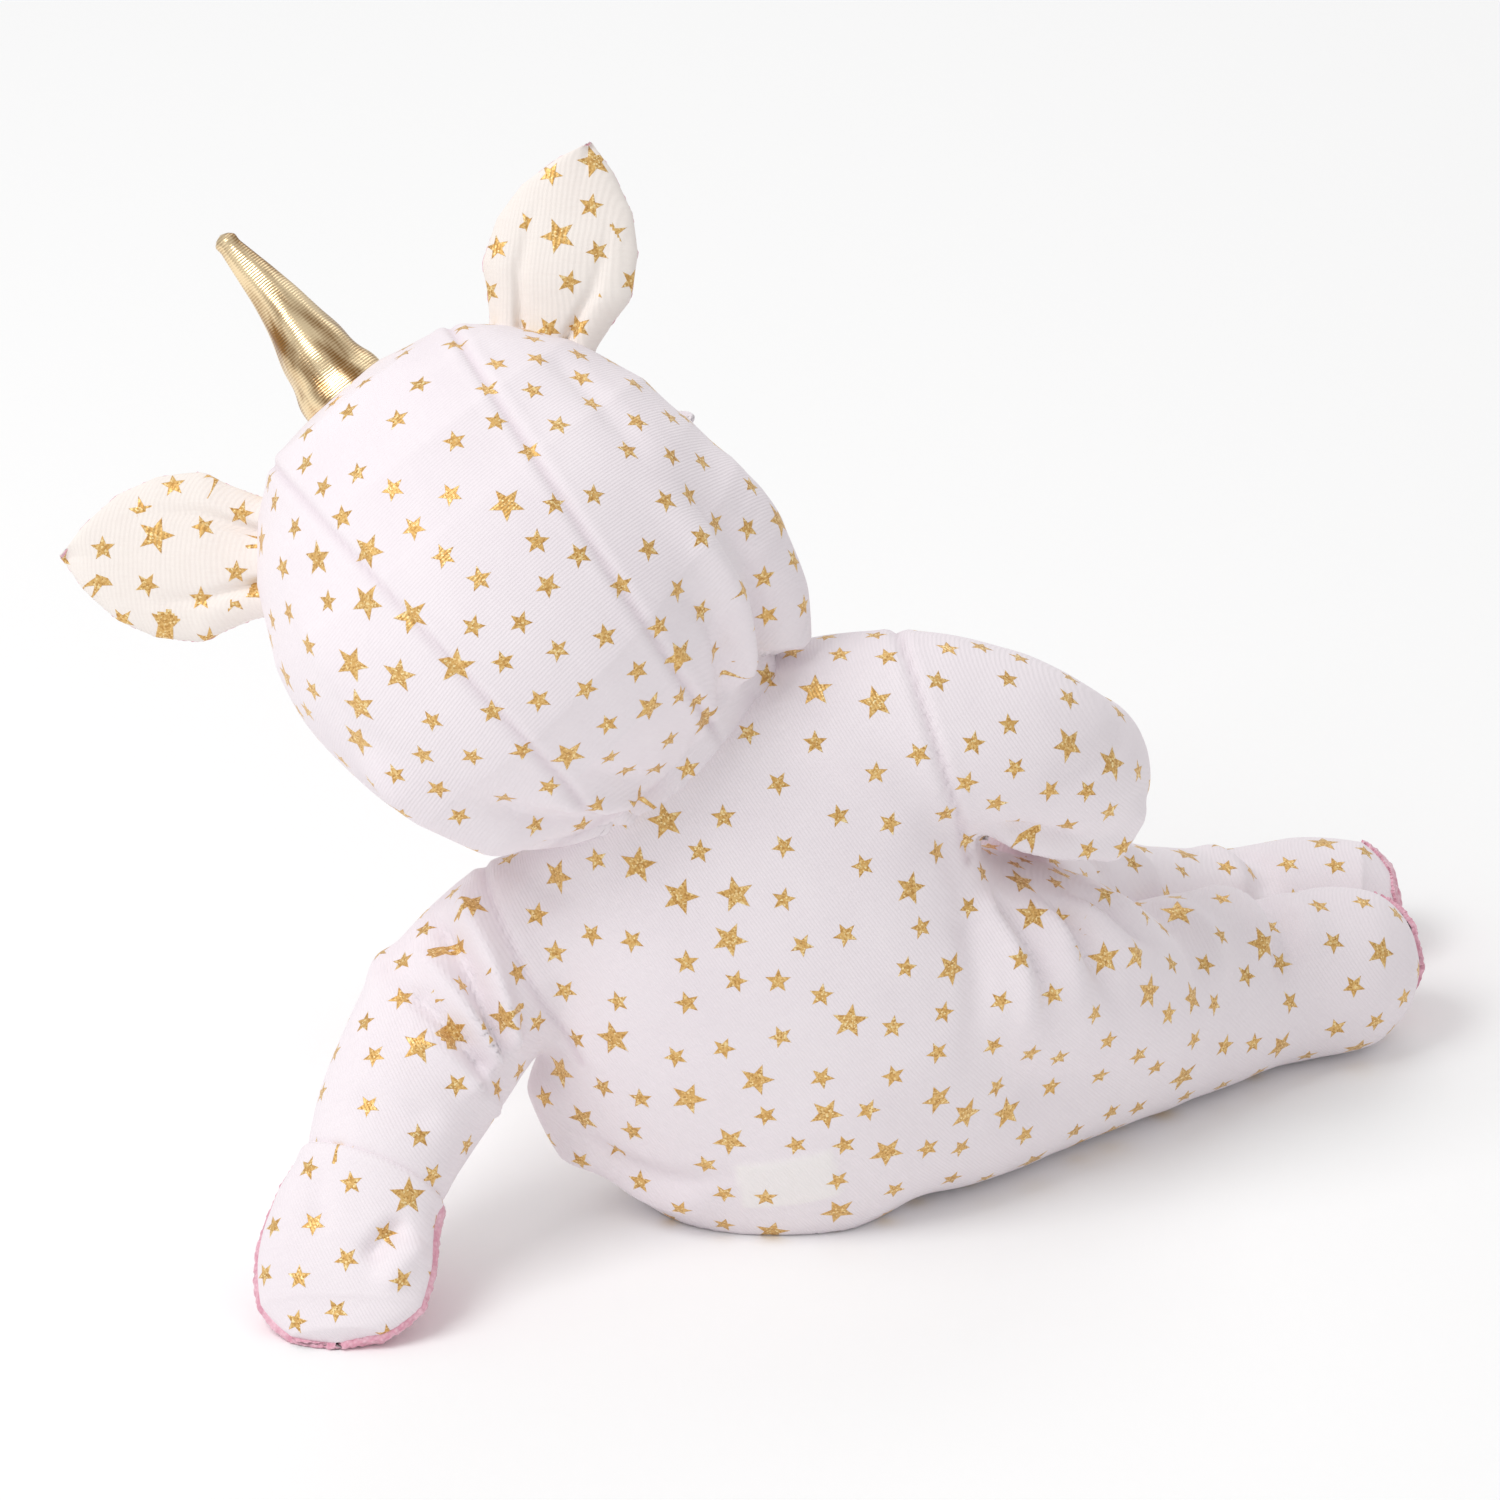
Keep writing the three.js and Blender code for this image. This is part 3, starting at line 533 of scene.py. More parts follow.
def star_mask(tree, ragged):
    """1 inside the star and 0 outside. The angle is folded to one edge from a point to a notch, and a place is
    inside where it lies on the middle's side of that edge."""
    uv = node(tree, "UVMap", uv_map="stars").outputs["UV"]
    flat = node(tree, "SeparateXYZ", {0: uv})
    far = node(tree, "VectorMath", {0: uv}, operation="LENGTH").outputs["Value"]
    turn = node(tree, "Math", {0: flat.outputs["Y"], 1: flat.outputs["X"]}, operation="ARCTAN2").outputs[0]
    folded = node(tree, "Math", {0: turn, 1: POINT_SECTOR}, operation="PINGPONG").outputs[0]
    x, y = (node(tree, "Math", {0: far, 1: node(tree, "Math", {0: folded}, operation=way).outputs[0]},
                 operation="MULTIPLY").outputs[0] for way in ("COSINE", "SINE"))
    notch = (STAR_WAIST * math.cos(POINT_SECTOR), STAR_WAIST * math.sin(POINT_SECTOR))
    ahead = node(tree, "Math", {0: x, 1: -notch[1], 2: notch[1]}, operation="MULTIPLY_ADD").outputs[0]
    side = node(tree, "Math", {0: y, 1: notch[0] - 1, 2: ahead}, operation="MULTIPLY_ADD").outputs[0]
    rough = node(tree, "Math", {0: ragged, 1: 0.03, 2: side}, operation="MULTIPLY_ADD").outputs[0]
    return node(tree, "MapRange", {"Value": rough, "From Min": 0.008, "From Max": 0.03}).outputs[0]


def jersey(name, base, shade, wale):
    """Single jersey knit, bleached and printed. Fine ribs run along it, drawn 0.9 mm apart, coarser than the real
    0.6 mm so that they show; thicker yarn makes faint streaks across; the nap scatters light at grazing angles. The
    stars are glitter glued on: flecks 0.5 mm wide, each painted a random gold from dark to pale, where the pale ones
    are painted glints of flecks that catch the light. Along the seams the colour is darkened as painted shade."""
    made, tree, shader, place = finish_of(name, Sheen_Weight=0.12, Sheen_Roughness=0.6, Specular_IOR_Level=0.25)
    turned = node(tree, "Mapping", {"Vector": place, "Rotation": wale}).outputs[0]
    ribs = node(tree, "TexWave", {"Vector": turned, "Scale": WAVE / 0.0009, "Distortion": 1.2, "Detail": 1.0,
                                  "Detail Scale": 0.6}).outputs["Fac"]
    squeezed = node(tree, "Mapping", {"Vector": turned, "Scale": (220, 220, 1600)}).outputs[0]
    streaks = node(tree, "TexNoise", {"Vector": squeezed, "Scale": 1.0, "Detail": 2.0}).outputs["Fac"]
    mottle = node(tree, "TexNoise", {"Vector": place, "Scale": 28.0, "Detail": 3.0}).outputs["Fac"]
    fuzz = node(tree, "TexNoise", {"Vector": place, "Scale": 1500.0, "Detail": 2.0}).outputs["Fac"]
    tone = node(tree, "Math", {0: streaks, 1: 0.5, 2: mottle}, operation="MULTIPLY_ADD").outputs[0]
    tone = node(tree, "MapRange", {"Value": tone, "From Min": 0.45, "From Max": 1.05}).outputs[0]
    ragged = node(tree, "Math", {0: fuzz, 1: 0.5}, operation="SUBTRACT").outputs[0]
    mask = star_mask(tree, ragged)
    # Each fleck gets a random gold from dark to pale: the foil's own uneven tone, with the pale flecks as painted
    # glints of flecks that catch the light.
    flecks = node(tree, "TexVoronoi", {"Vector": place, "Scale": 2000.0})
    light = node(tree, "SeparateColor", {0: flecks.outputs["Color"]}).outputs[0]
    glitter = node(tree, "ValToRGB", {"Fac": light})
    stops = glitter.color_ramp.elements
    stops[0].color, stops[1].color = linear("C08D48"), linear("FFEBB4")
    for where, tint in ((0.35, "DBAC62"), (0.8, "EAC27C")):
        stops.new(where).color = linear(tint)
    colour = linear(shade)
    # Seams are painted darker along their grooves: painted shade. The label mark is the white tape seen through the
    # cloth.
    seam, label = (node(tree, "Attribute", attribute_name=mark).outputs["Fac"] for mark in ("seam", "label"))
    for amount, tint in ((tone, linear(base)), (seam, linear(SEAM_PAINTED_SHADE)), (label, linear(LABEL_TINT)),
                         (mask, glitter.outputs["Color"])):
        colour = node(tree, "Mix", {"Factor": amount, 6: colour, 7: tint}, data_type="RGBA").outputs[2]
    metal = node(tree, "Math", {0: mask, 1: 0.45}, operation="MULTIPLY").outputs[0]
    matt = node(tree, "MapRange", {"Value": mask, "To Min": 0.92, "To Max": 0.42}).outputs[0]
    tree.links.new(metal, shader.inputs["Metallic"])
    tree.links.new(matt, shader.inputs["Roughness"])
    raised = node(tree, "Math", {0: light, 1: 1.5, 2: 1.0}, operation="MULTIPLY_ADD").outputs[0]
    relief = ribs
    for part, share in ((fuzz, 0.5), (streaks, 0.8), (mask, raised)):
        relief = node(tree, "Math", {0: part, 1: share, 2: relief}, operation="MULTIPLY_ADD").outputs[0]
    show(tree, shader, colour, relief, 0.5, 0.00014)
    return made


CLOTH, CLOTH_SHADE = "F5EDF1", "EFE6EB"  # optically whitened, so a little lilac
body_jersey = jersey("printed_cotton_jersey_body", CLOTH, CLOTH_SHADE, (0.0, 0.6, 0.0))

# Torso, both arms down to the cuffs and the left leg, as one skin. The yoke rounds the right shoulder off, and the
# seat is the loose cloth between the right hip and the left thigh.
CUFF_AT = 4 / 9  # the mitten is sewn on this far along the arm
ANKLE_AT = 5 / 9
yoke_shape = loft([
    ((-8, 5, 138), 24, 24),
    ((20, 7, 146), 26, 26),
    ((46, 10, 145), 27.5, 27.5),
    ((76, 15, 138), 25, 25),
], LEG_SIDE)
seat_shape = loft([
    ((36, 10, 82), 34, 30),
    ((60, 17, 69), 35, 33),
    ((83, 32, 55), 32, 33),
    ((105, 51, 39), 28, 28),
    ((122, 70, 28), 24, 24),
], LEG_SIDE)
slack_shape = loft([
    ((84, 40, 40), 20, 22),
    ((96, 52, 37.5), 24, 25),
    ((113, 66, 35.5), 25, 25.5),
    ((133, 82, 33.0), 24, 24.5),
    ((150, 94, 27.5), 21, 21),
], LEG_SIDE)
ARM_END = np.linspace(0, CUFF_AT + 0.03, 60)
suit_points, suit_faces = one_skin(*joined(
    tube(grid(torso_shape, around(110), np.linspace(0, 0.985, 100))),
    tube(grid(yoke_shape, around(70), np.linspace(0, 1, 40))),
    tube(grid(seat_shape, around(80), np.linspace(0, 1, 50))),
    tube(grid(slack_shape, around(70), np.linspace(0, 1, 50))),
    tube(grid(arm_shape["left"], around(72), ARM_END)),
    tube(grid(arm_shape["right"], around(72), ARM_END)),
    tube(grid(leg_shape["left"], around(80), np.linspace(0, 0.985, 110))),
), VOXEL)
suit_edges = edges_of(suit_faces)
suit_points = averaged(suit_points, suit_edges, 24, 0.6)

# Which shape each face came from: the one whose surface has the nearest point.
sources = [
    (0, grid(torso_shape, around(56), np.linspace(0, 0.985, 50))),
    (1, grid(arm_shape["left"], around(36), ARM_END[::3])),
    (2, grid(arm_shape["right"], around(36), ARM_END[::3])),
    (2, grid(yoke_shape, around(36), np.linspace(0, 1, 20))),
    (3, grid(leg_shape["left"], around(40), np.linspace(0, 0.985, 50))),
    (3, grid(seat_shape, around(40), np.linspace(0, 1, 25))),
    (3, grid(slack_shape, around(40), np.linspace(0, 1, 25))),
]
source_points = np.vstack([s.reshape(-1, 3) for _, s in sources])
source_names = np.concatenate([np.full(s.size // 3, name) for name, s in sources])


def nearest_source(points):
    """The number of the shape that each point lies nearest to, by squared distance: a a + b b - 2 a b."""
    far = (source_points**2).sum(axis=1)[None, :] - 2 * points @ source_points.T
    return source_names[far.argmin(axis=1)]


def beyond(points, at, line):
    """How far each point is past a plane."""
    return (points - at) @ line


suit_middles = suit_points[suit_faces].mean(axis=1)
suit_source = np.concatenate([nearest_source(part) for part in np.array_split(suit_middles, 40)])
LEFT_LEG_LINE = unit(0.86, 0.5, -0.1)
HIP_CUT = LEFT_HIP + 26 * LEFT_LEG_LINE
LEFT_FOOT_LINE = unit(18, 13, -2)  # from the ankle to the toes
left_ankle = leg_shape["left"](np.array([0.0, 0.5]), ANKLE_AT).mean(axis=0)
is_left_sleeve = (suit_source == 1) & (beyond(suit_middles, LEFT_SHOULDER, LEFT_OUT) > 1)
is_right_sleeve = (suit_source == 2) & (beyond(suit_middles, RIGHT_SHOULDER, RIGHT_OUT) > 1)
is_left_leg = (suit_source == 3) & (beyond(suit_middles, HIP_CUT, LEFT_LEG_LINE) > 0)
is_left_foot = is_left_leg & (beyond(suit_middles, left_ankle, LEFT_FOOT_LINE) > 0)


def snapped(points, path):
    """A path with each of its points moved to the nearest point of a skin."""
    path = np.asarray(path, float)
    return points[np.linalg.norm(points[:, None] - path, axis=2).argmin(axis=0)]


FOLD_GAIN = 1.8  # the folds' heights are drawn this much higher, because the grooves between them round off


def lifted(points, faces, folds, seams=(), deepest=-3.4):
    """A skin with folds and seams: each point moved along its normal by the sum of the folds' heights, less a
    groove 1 mm deep along each seam, given by how far each point is from it, with a low ridge on either side."""
    normals = normals_of(points, faces)
    height = 0.45 * ruffle(points, 30, 11) + 0.2 * ruffle(points, 13, 12)
    for path, tall, width, ends in folds:
        height = height + FOLD_GAIN * fold(points, snapped(points, path), tall, width, ends)
    for away in seams:
        height = height - bell(away, 1.2) + 0.35 * bell(np.abs(away) - 3.2, 1.8)
    return points + normals * np.maximum(height, deepest)[:, None]


def on(shape, *places):
    """Points of a shape at pairs of u and v."""
    u, v = np.array(places).T
    return shape(u, v)


EVEN, LONG_END = (0.3, 0.3), (0.12, 0.6)  # the shares of its length over which a fold rises at its two ends
L_ARM, R_ARM, L_LEG = arm_shape["left"], arm_shape["right"], leg_shape["left"]
suit_folds = [
    # Gathers that fan out over the right hip from under the elbow.
    ([(66, -4, 104), (74, -8, 82), (78, -12, 60), (78, -14, 42)], 2.2, 5.0, LONG_END),
    ([(71, -4, 104), (80, -6, 82), (85, -8, 60), (87, -10, 44)], -2.4, 3.6, LONG_END),
    ([(78, 0, 104), (88, 0, 84), (94, 0, 62), (98, 2, 46)], 2.6, 4.6, LONG_END),
    ([(82, 3, 104), (93, 6, 86), (102, 8, 66), (107, 12, 50)], -2.6, 3.4, LONG_END),
    ([(88, 8, 103), (101, 14, 86), (112, 20, 68), (120, 26, 54)], 2.6, 4.6, LONG_END),
    ([(92, 14, 102), (106, 22, 88), (119, 32, 70), (128, 40, 56)], -2.2, 3.4, LONG_END),
    ([(96, 22, 100), (113, 34, 84), (128, 46, 66)], 2.0, 4.4, LONG_END),
    ([(60, -12, 100), (64, -18, 80), (66, -24, 56), (64, -26, 40)], -1.4, 4.5, LONG_END),
    # Creases across the left sleeve, out of the armpit.
    (on(L_ARM, (0.04, 0.25), (0.12, 0.205), (0.20, 0.165), (0.30, 0.135), (0.40, 0.12)), 2.8, 3.4, (0.1, 0.3)),
    (on(L_ARM, (0.05, 0.262), (0.13, 0.228), (0.21, 0.195), (0.31, 0.17), (0.39, 0.16)), -2.8, 2.4, (0.1, 0.3)),
    (on(L_ARM, (0.05, 0.275), (0.14, 0.252), (0.23, 0.225), (0.34, 0.205)), 2.6, 3.2, (0.1, 0.3)),
    (on(L_ARM, (0.06, 0.29), (0.15, 0.277), (0.24, 0.258), (0.32, 0.245)), -2.6, 2.3, (0.1, 0.3)),
    (on(L_ARM, (0.07, 0.308), (0.16, 0.302), (0.27, 0.29)), 1.8, 3.2, (0.1, 0.4)),
    (on(L_ARM, (0.98, 0.31), (0.05, 0.31), (0.13, 0.32)), 1.6, 4.0, LONG_END),
    (on(L_ARM, (0.45, 0.2), (0.38, 0.24), (0.3, 0.27)), 1.4, 5.0, EVEN),
    (on(L_ARM, (0.1, 0.36), (0.2, 0.38), (0.33, 0.37)), -0.9, 4.0, EVEN),
    # Round the bent right elbow.
    (on(R_ARM, (0.44, 0.17), (0.40, 0.24), (0.37, 0.31), (0.34, 0.38)), -3.2, 3.4, EVEN),
    (on(R_ARM, (0.37, 0.17), (0.35, 0.24), (0.32, 0.32), (0.29, 0.39)), 2.4, 3.6, EVEN),
    (on(R_ARM, (0.31, 0.19), (0.30, 0.25), (0.28, 0.32)), -1.8, 2.8, EVEN),
    (on(R_ARM, (0.40, 0.36), (0.30, 0.36), (0.18, 0.35)), 2.2, 5.5, EVEN),
    (on(R_ARM, (0.22, 0.22), (0.12, 0.27), (0.04, 0.33)), -1.0, 4.5, EVEN),
    (on(R_ARM, (0.42, 0.22), (0.45, 0.16), (0.48, 0.12)), 2.0, 4.5, EVEN),
    # Slack cloth under the belly, on the side that the doll lies on.
    (on(torso_shape, (0.49, 0.42), (0.488, 0.50), (0.47, 0.58)), 5.0, 11.0, EVEN),
    (on(torso_shape, (0.47, 0.50), (0.42, 0.545), (0.36, 0.575), (0.30, 0.60)), -1.6, 3.6, LONG_END),
    (on(torso_shape, (0.47, 0.54), (0.41, 0.59), (0.35, 0.62)), 1.4, 5.0, EVEN),
    # Soft pulls down the back from the neck and the right armhole.
    (on(torso_shape, (0.14, 0.10), (0.12, 0.22), (0.11, 0.34)), 0.9, 7.0, EVEN),
    (on(torso_shape, (0.40, 0.12), (0.43, 0.22), (0.45, 0.33)), -1.0, 6.0, EVEN),
    (on(torso_shape, (0.06, 0.28), (0.08, 0.38), (0.12, 0.47)), -0.8, 6.0, EVEN),
    # The left leg: behind the knee and round the ankle.
    (on(L_LEG, (0.20, 0.30), (0.30, 0.33), (0.40, 0.32)), -1.3, 4.5, EVEN),
    (on(L_LEG, (0.18, 0.37), (0.29, 0.39), (0.41, 0.37)), 1.3, 5.0, EVEN),
    (on(L_LEG, (0.12, 0.50), (0.24, 0.53), (0.36, 0.50), (0.46, 0.48)), -2.6, 4.6, EVEN),
    (on(L_LEG, (0.12, 0.455), (0.25, 0.475), (0.38, 0.45)), 1.6, 4.5, EVEN),
    (on(L_LEG, (0.14, 0.585), (0.26, 0.60), (0.40, 0.57)), 1.2, 6.0, EVEN),
]
label_place = torso_shape(0.30, 0.63)
LABEL_SIDE = unit(0.98, 0.0, 0.17)
LABEL_DOWN = unit(np.cross(LABEL_SIDE, torso_shape(0.30, 0.63, 5.0) - label_place))
LABEL_SIZE = (28, 17)
in_label = np.ones(len(suit_points))
for way, size in ((LABEL_SIDE, LABEL_SIZE[0]), (LABEL_DOWN, LABEL_SIZE[1])):
    in_label *= np.clip(0.5 + (size / 2 - np.abs((suit_points - label_place) @ way)) / 1.7, 0, 1)
in_label *= suit_points[:, 1] < label_place[1] + 12
NO_SEAM = 99.0  # how far away a seam is said to be where it is not sewn
ABOVE_FLOOR = 0.3
left_armhole = np.where(suit_points[:, 2] > 56, beyond(suit_points, LEFT_SHOULDER, LEFT_OUT) - 1, NO_SEAM)
by_right_shoulder = (beyond(suit_points, RIGHT_SHOULDER, NECK_LINE) > -34) & (suit_points @ SHOULDER_LINE > 0)
right_armhole = np.where(by_right_shoulder, beyond(suit_points, RIGHT_SHOULDER, RIGHT_OUT) - 1, NO_SEAM)
suit_points = lifted(suit_points, suit_faces, suit_folds, [right_armhole, left_armhole])
suit_points = suit_points + normals_of(suit_points, suit_faces) * (0.5 * in_label)[:, None]
suit_points[:, 2] = np.maximum(suit_points[:, 2], ABOVE_FLOOR)


def cut_from(points, faces, material, seed, marks=None):
    """What every piece cut from one printed skin shares, for the cloth."""
    normals = normals_of(points, faces)
    return dict(points=points, faces=faces, normals=normals, material=material, marks=marks,
                uv=star_print(points, faces, normals, seed))


def fit(piece, node_name, body=None):
    """Attaches a piece to the body that it rides on, where one is given, and hides the frame's node that the piece
    stands for."""
    if body:
        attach(piece, body)
    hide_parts(node_name)


SEAM_WIDTH = 1.1
# The seam mark darkens the armhole seams as painted shade in their grooves.
SUIT_CUT = cut_from(suit_points, suit_faces, body_jersey, 3, {
    "seam": 0.5 * bell(np.minimum(np.abs(right_armhole), np.abs(left_armhole)), SEAM_WIDTH),
    "label": 0.6 * in_label})
is_torso = ~(is_left_sleeve | is_right_sleeve | is_left_leg)
is_back = is_torso & ((suit_middles - np.array([10, 7, 75])) @ np.array([0, -1.0, 0.1]) > 0)
is_front = is_torso & ~is_back
is_rightward = (suit_middles - np.array([6, 4, 75])) @ SHOULDER_LINE > 0
FRONT_FLAT, SLEEVE_FLAT, TROUSER_FLAT, FOOT_FLAT = (0.10, 0.19), (0.155, 0.10), (0.20, 0.15), (0.11, 0.09)
suit = {}
for name, node_name, chosen, body_name, cut_size, cut_area in (
        ("suit_back", "suit_back", is_back, "torso", (0.185, 0.20), 0.030),
        ("suit_front_left", "suit_front_left", is_front & ~is_rightward, "torso", FRONT_FLAT, 0.0138),
        ("suit_front_right", "suit_front_right", is_front & is_rightward, "torso", FRONT_FLAT, 0.0128),
        ("left_sleeve", "left_sleeve", is_left_sleeve, None, SLEEVE_FLAT, 0.0135),
        ("right_sleeve", "right_sleeve", is_right_sleeve, None, SLEEVE_FLAT, 0.0128),
        ("left_trouser", "left_trouser", is_left_leg & ~is_left_foot, None, TROUSER_FLAT, 0.0240),
        ("left_foot", "left_foot_upper", is_left_foot, "left_leg", FOOT_FLAT, 0.0070)):
    suit[name] = cloth(name + "_cloth", keep=chosen, **SUIT_CUT)
    fit(suit[name], node_name, body_name)
for name, body_name, at, line, start, end in (
        ("left_sleeve", "left_arm", LEFT_SHOULDER, LEFT_OUT, 1, 15),
        ("right_sleeve", "right_arm", RIGHT_SHOULDER, RIGHT_OUT, 1, 16),
        ("left_trouser", "left_leg", HIP_CUT, LEFT_LEG_LINE, 3, 45)):
    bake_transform(suit[name])

# ---- Right trouser leg and foot ----
# The same jersey. It lies behind the left leg and rests on it, so it is cut from a skin of its own.
R_LEG = leg_shape["right"]
right_points, right_faces = tube(grid(R_LEG, around(90), np.linspace(0, 0.985, 130)))
right_middles = right_points[right_faces].mean(axis=1)
right_ankle = R_LEG(np.array([0.0, 0.5]), ANKLE_AT).mean(axis=0)
is_right_foot = beyond(right_middles, right_ankle, unit(21, 15, -4)) > 0
right_points = lifted(right_points, right_faces, [
    (on(R_LEG, (0.2, 0.2), (0.3, 0.24), (0.42, 0.22)), -1.8, 4.5, EVEN),
    (on(R_LEG, (0.2, 0.28), (0.3, 0.31), (0.42, 0.3)), 1.6, 5.0, EVEN),
    (on(R_LEG, (0.15, 0.52), (0.27, 0.55), (0.4, 0.52)), -2.2, 4.5, EVEN),
    (on(R_LEG, (0.15, 0.47), (0.27, 0.49), (0.4, 0.46)), 1.4, 4.5, EVEN),
])
right_points[:, 2] = np.maximum(right_points[:, 2], ABOVE_FLOOR)
RIGHT_CUT = cut_from(right_points, right_faces, body_jersey, 5)
right_trouser = cloth("right_trouser_cloth", keep=~is_right_foot, **RIGHT_CUT)
right_foot = cloth("right_foot_cloth", keep=is_right_foot, **RIGHT_CUT)
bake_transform(right_trouser)
fit(right_trouser, "right_trouser", None)
fit(right_foot, "right_foot_upper", "right_leg")

# ---- Hood ----
# Three panels of the jersey, wide over the forehead and narrow at the nape, gathered a little into the neck seam.
# A port in front shows the face.
PANEL_TOP, PANEL_NECK, PANEL_LENGTH = 31.5, 20, 140
PORT_MIDDLE = HEAD_CENTRE + 70 * FACE_LINE
PORT_SIZE = np.array([40, 45, 50])
FACE_AXES = np.stack([HEAD_RIGHT, CROWN_LINE, FACE_LINE])


def in_port(points, grow=0.0):
    """True inside the ellipsoid that the port is cut with."""
    return (((points - PORT_MIDDLE) @ FACE_AXES.T / (PORT_SIZE + grow)) ** 2).sum(axis=1) < 1


def panel_edge(points):
    """How far each point is outside the middle panel, measured square to the doll's middle plane."""
    high = np.clip((points - HEAD_CENTRE) @ HORN_LINE / PANEL_LENGTH + 0.5, 0, 1.2)
    return np.abs((points - HEAD_CENTRE) @ HEAD_RIGHT) - (PANEL_NECK + (PANEL_TOP - PANEL_NECK) * high)


def with_neck(rows, inset):
    """A hood grid with two more rows that tuck the cloth into the neck."""
    last, middle = rows[-1], rows[-1].mean(axis=0)
    tucked = [last + (middle - last) * share - NECK_LINE * down for share, down in ((0.05, 7), (0.2, 14 - inset))]
    return np.concatenate([rows, np.stack(tucked)])


HOOD_ROWS = np.linspace(0.004, 1, 210)
hood_points, hood_faces = tube(with_neck(grid(hood_shape, around(320), HOOD_ROWS), 0))
hood_turn = np.arctan2((hood_points - HEAD_CENTRE) @ HOOD_FRONT, (hood_points - HEAD_CENTRE) @ HEAD_RIGHT)
neck_near = np.clip(1 - beyond(hood_points, PLAN_NECK, NECK_LINE) / 34, 0, 1)
gather_share = np.where(hood_turn > 0, 1.0, 0.12) * neck_near**1.5
hood_gathers = 1.5 * gather_share * (np.sin(13 * hood_turn + 0.6) + 0.6 * np.sin(21 * hood_turn))
hood_seam = np.where(beyond(hood_points, PLAN_NECK, NECK_LINE) > 2, panel_edge(hood_points), 99.0)
hood_points = lifted(hood_points, hood_faces, [
    (on(hood_shape, (0.055, 0.76), (0.062, 0.86), (0.075, 0.95), (0.08, 0.995)), 2.6, 12.0, (0.6, 0.02)),
    (on(hood_shape, (0.055, 0.58), (0.045, 0.72), (0.05, 0.86), (0.07, 0.995)), 3.5, 13.0, (0.5, 0.03)),
    (on(hood_shape, (0.105, 0.56), (0.10, 0.70), (0.105, 0.85), (0.125, 0.99)), -3.2, 4.2, (0.5, 0.1)),
    (on(hood_shape, (0.135, 0.54), (0.13, 0.70), (0.14, 0.85), (0.155, 0.99)), 2.6, 5.0, (0.5, 0.1)),
    (on(hood_shape, (0.165, 0.62), (0.16, 0.78), (0.17, 0.90), (0.18, 0.99)), -1.8, 3.8, (0.5, 0.1)),
    (on(hood_shape, (0.07, 0.30), (0.10, 0.42), (0.115, 0.55)), -0.9, 5.0, EVEN),
    (on(hood_shape, (0.42, 0.55), (0.415, 0.68), (0.41, 0.80), (0.40, 0.92)), 3.2, 9.0, EVEN),
    (on(hood_shape, (0.375, 0.66), (0.37, 0.78), (0.36, 0.90), (0.35, 0.99)), -2.6, 4.4, (0.5, 0.1)),
    (on(hood_shape, (0.34, 0.70), (0.335, 0.84), (0.325, 0.99)), 1.8, 4.6, (0.5, 0.1)),
    (on(hood_shape, (0.30, 0.72), (0.30, 0.86), (0.295, 0.99)), -1.0, 4.0, (0.5, 0.1)),
    (on(hood_shape, (0.40, 0.34), (0.39, 0.46), (0.38, 0.58)), 0.9, 6.0, EVEN),
], [hood_seam], deepest=-2.1)
hood_points = hood_points + normals_of(hood_points, hood_faces) * hood_gathers[:, None]
hood_middles = hood_points[hood_faces].mean(axis=1)
hood_jersey = jersey("printed_cotton_jersey_hood", CLOTH, CLOTH_SHADE, (0.0, -0.7, 0.5))
# The seam mark darkens the panel seams and the neck seam as painted shade in their grooves.
HOOD_CUT = cut_from(hood_points, hood_faces, hood_jersey, 7, {
    "seam": 0.5 * (bell(hood_seam, SEAM_WIDTH) + bell(beyond(hood_points, PLAN_NECK, NECK_LINE), 1.5))})
outside = ~in_port(hood_middles)
aside = panel_edge(hood_middles) > 0
rightward = (hood_middles - HEAD_CENTRE) @ HEAD_RIGHT > 0
for node_name, chosen in (
        ("hood_middle", outside & ~aside),
        ("hood_right", outside & aside & rightward),
        ("hood_left", outside & aside & ~rightward)):
    panel = cloth(node_name + "_cloth", keep=chosen, **HOOD_CUT)
    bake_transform(panel)
    fit(panel, node_name, None)

# ---- Pink plush: hood lining and the rolled edge of its port ----
# Short dense pile, 1.5 mm, knitted and sheared. It shows as a velvety surface of small tufts that is paler where
# it is brushed, and its own edge is ragged.
PLUSH = 1.5
plush_pink, tree, shader, place = finish_of("sheared_pink_plush", Roughness=1.0, Sheen_Weight=0.5,
                                            Sheen_Roughness=0.45, Specular_IOR_Level=0.1)
tufts = node(tree, "TexVoronoi", {"Vector": place, "Scale": 900.0}).outputs["Distance"]
brushed = node(tree, "TexNoise", {"Vector": place, "Scale": 160.0, "Detail": 3.0}).outputs["Fac"]
pile = node(tree, "Math", {0: tufts, 1: -0.45, 2: brushed}, operation="MULTIPLY_ADD").outputs[0]


def two_tone(tree, shader, pattern, start, end, low, high, *bump):
    """The colour goes from a low to a high tone as a pattern goes from its start to its end. The pattern is the
    relief as well, where a bump's strength and depth are given."""
    share = node(tree, "MapRange", {"Value": pattern, "From Min": start, "From Max": end}).outputs[0]
    colour = node(tree, "Mix", {"Factor": share, 6: linear(low), 7: linear(high)}, data_type="RGBA").outputs[2]
    show(tree, shader, colour, *((pattern, *bump) if bump else ()))


two_tone(tree, shader, pile, 0.05, 0.6, "DE9DB0", "F6CDD9", 0.8, 0.0008)


def plush(name, points, faces, keep=None, ragged=0.35, seed=1, thick=PLUSH):
    """A wall of plush from a fine skin, with each point lifted by uneven tufts about 2 mm wide."""
    normals = normals_of(points, faces)
    lift = ragged * (1.6 * ruffle(points, 1.8, seed) + ruffle(points, 5, seed + 100))
    points = points + normals * lift[:, None]
    return cloth(name, points, faces, normals_of(points, faces), plush_pink, keep=keep, thick=thick)


def facing_out(points, faces, outward=None):
    """The faces, turned over where they point against the outward direction, which for a closed shape is away from
    its middle."""
    outward = points - points.mean(axis=0) if outward is None else outward
    return faces if (normals_of(points, faces) * outward).sum() > 0 else faces[:, [1, 0, 3, 2]]


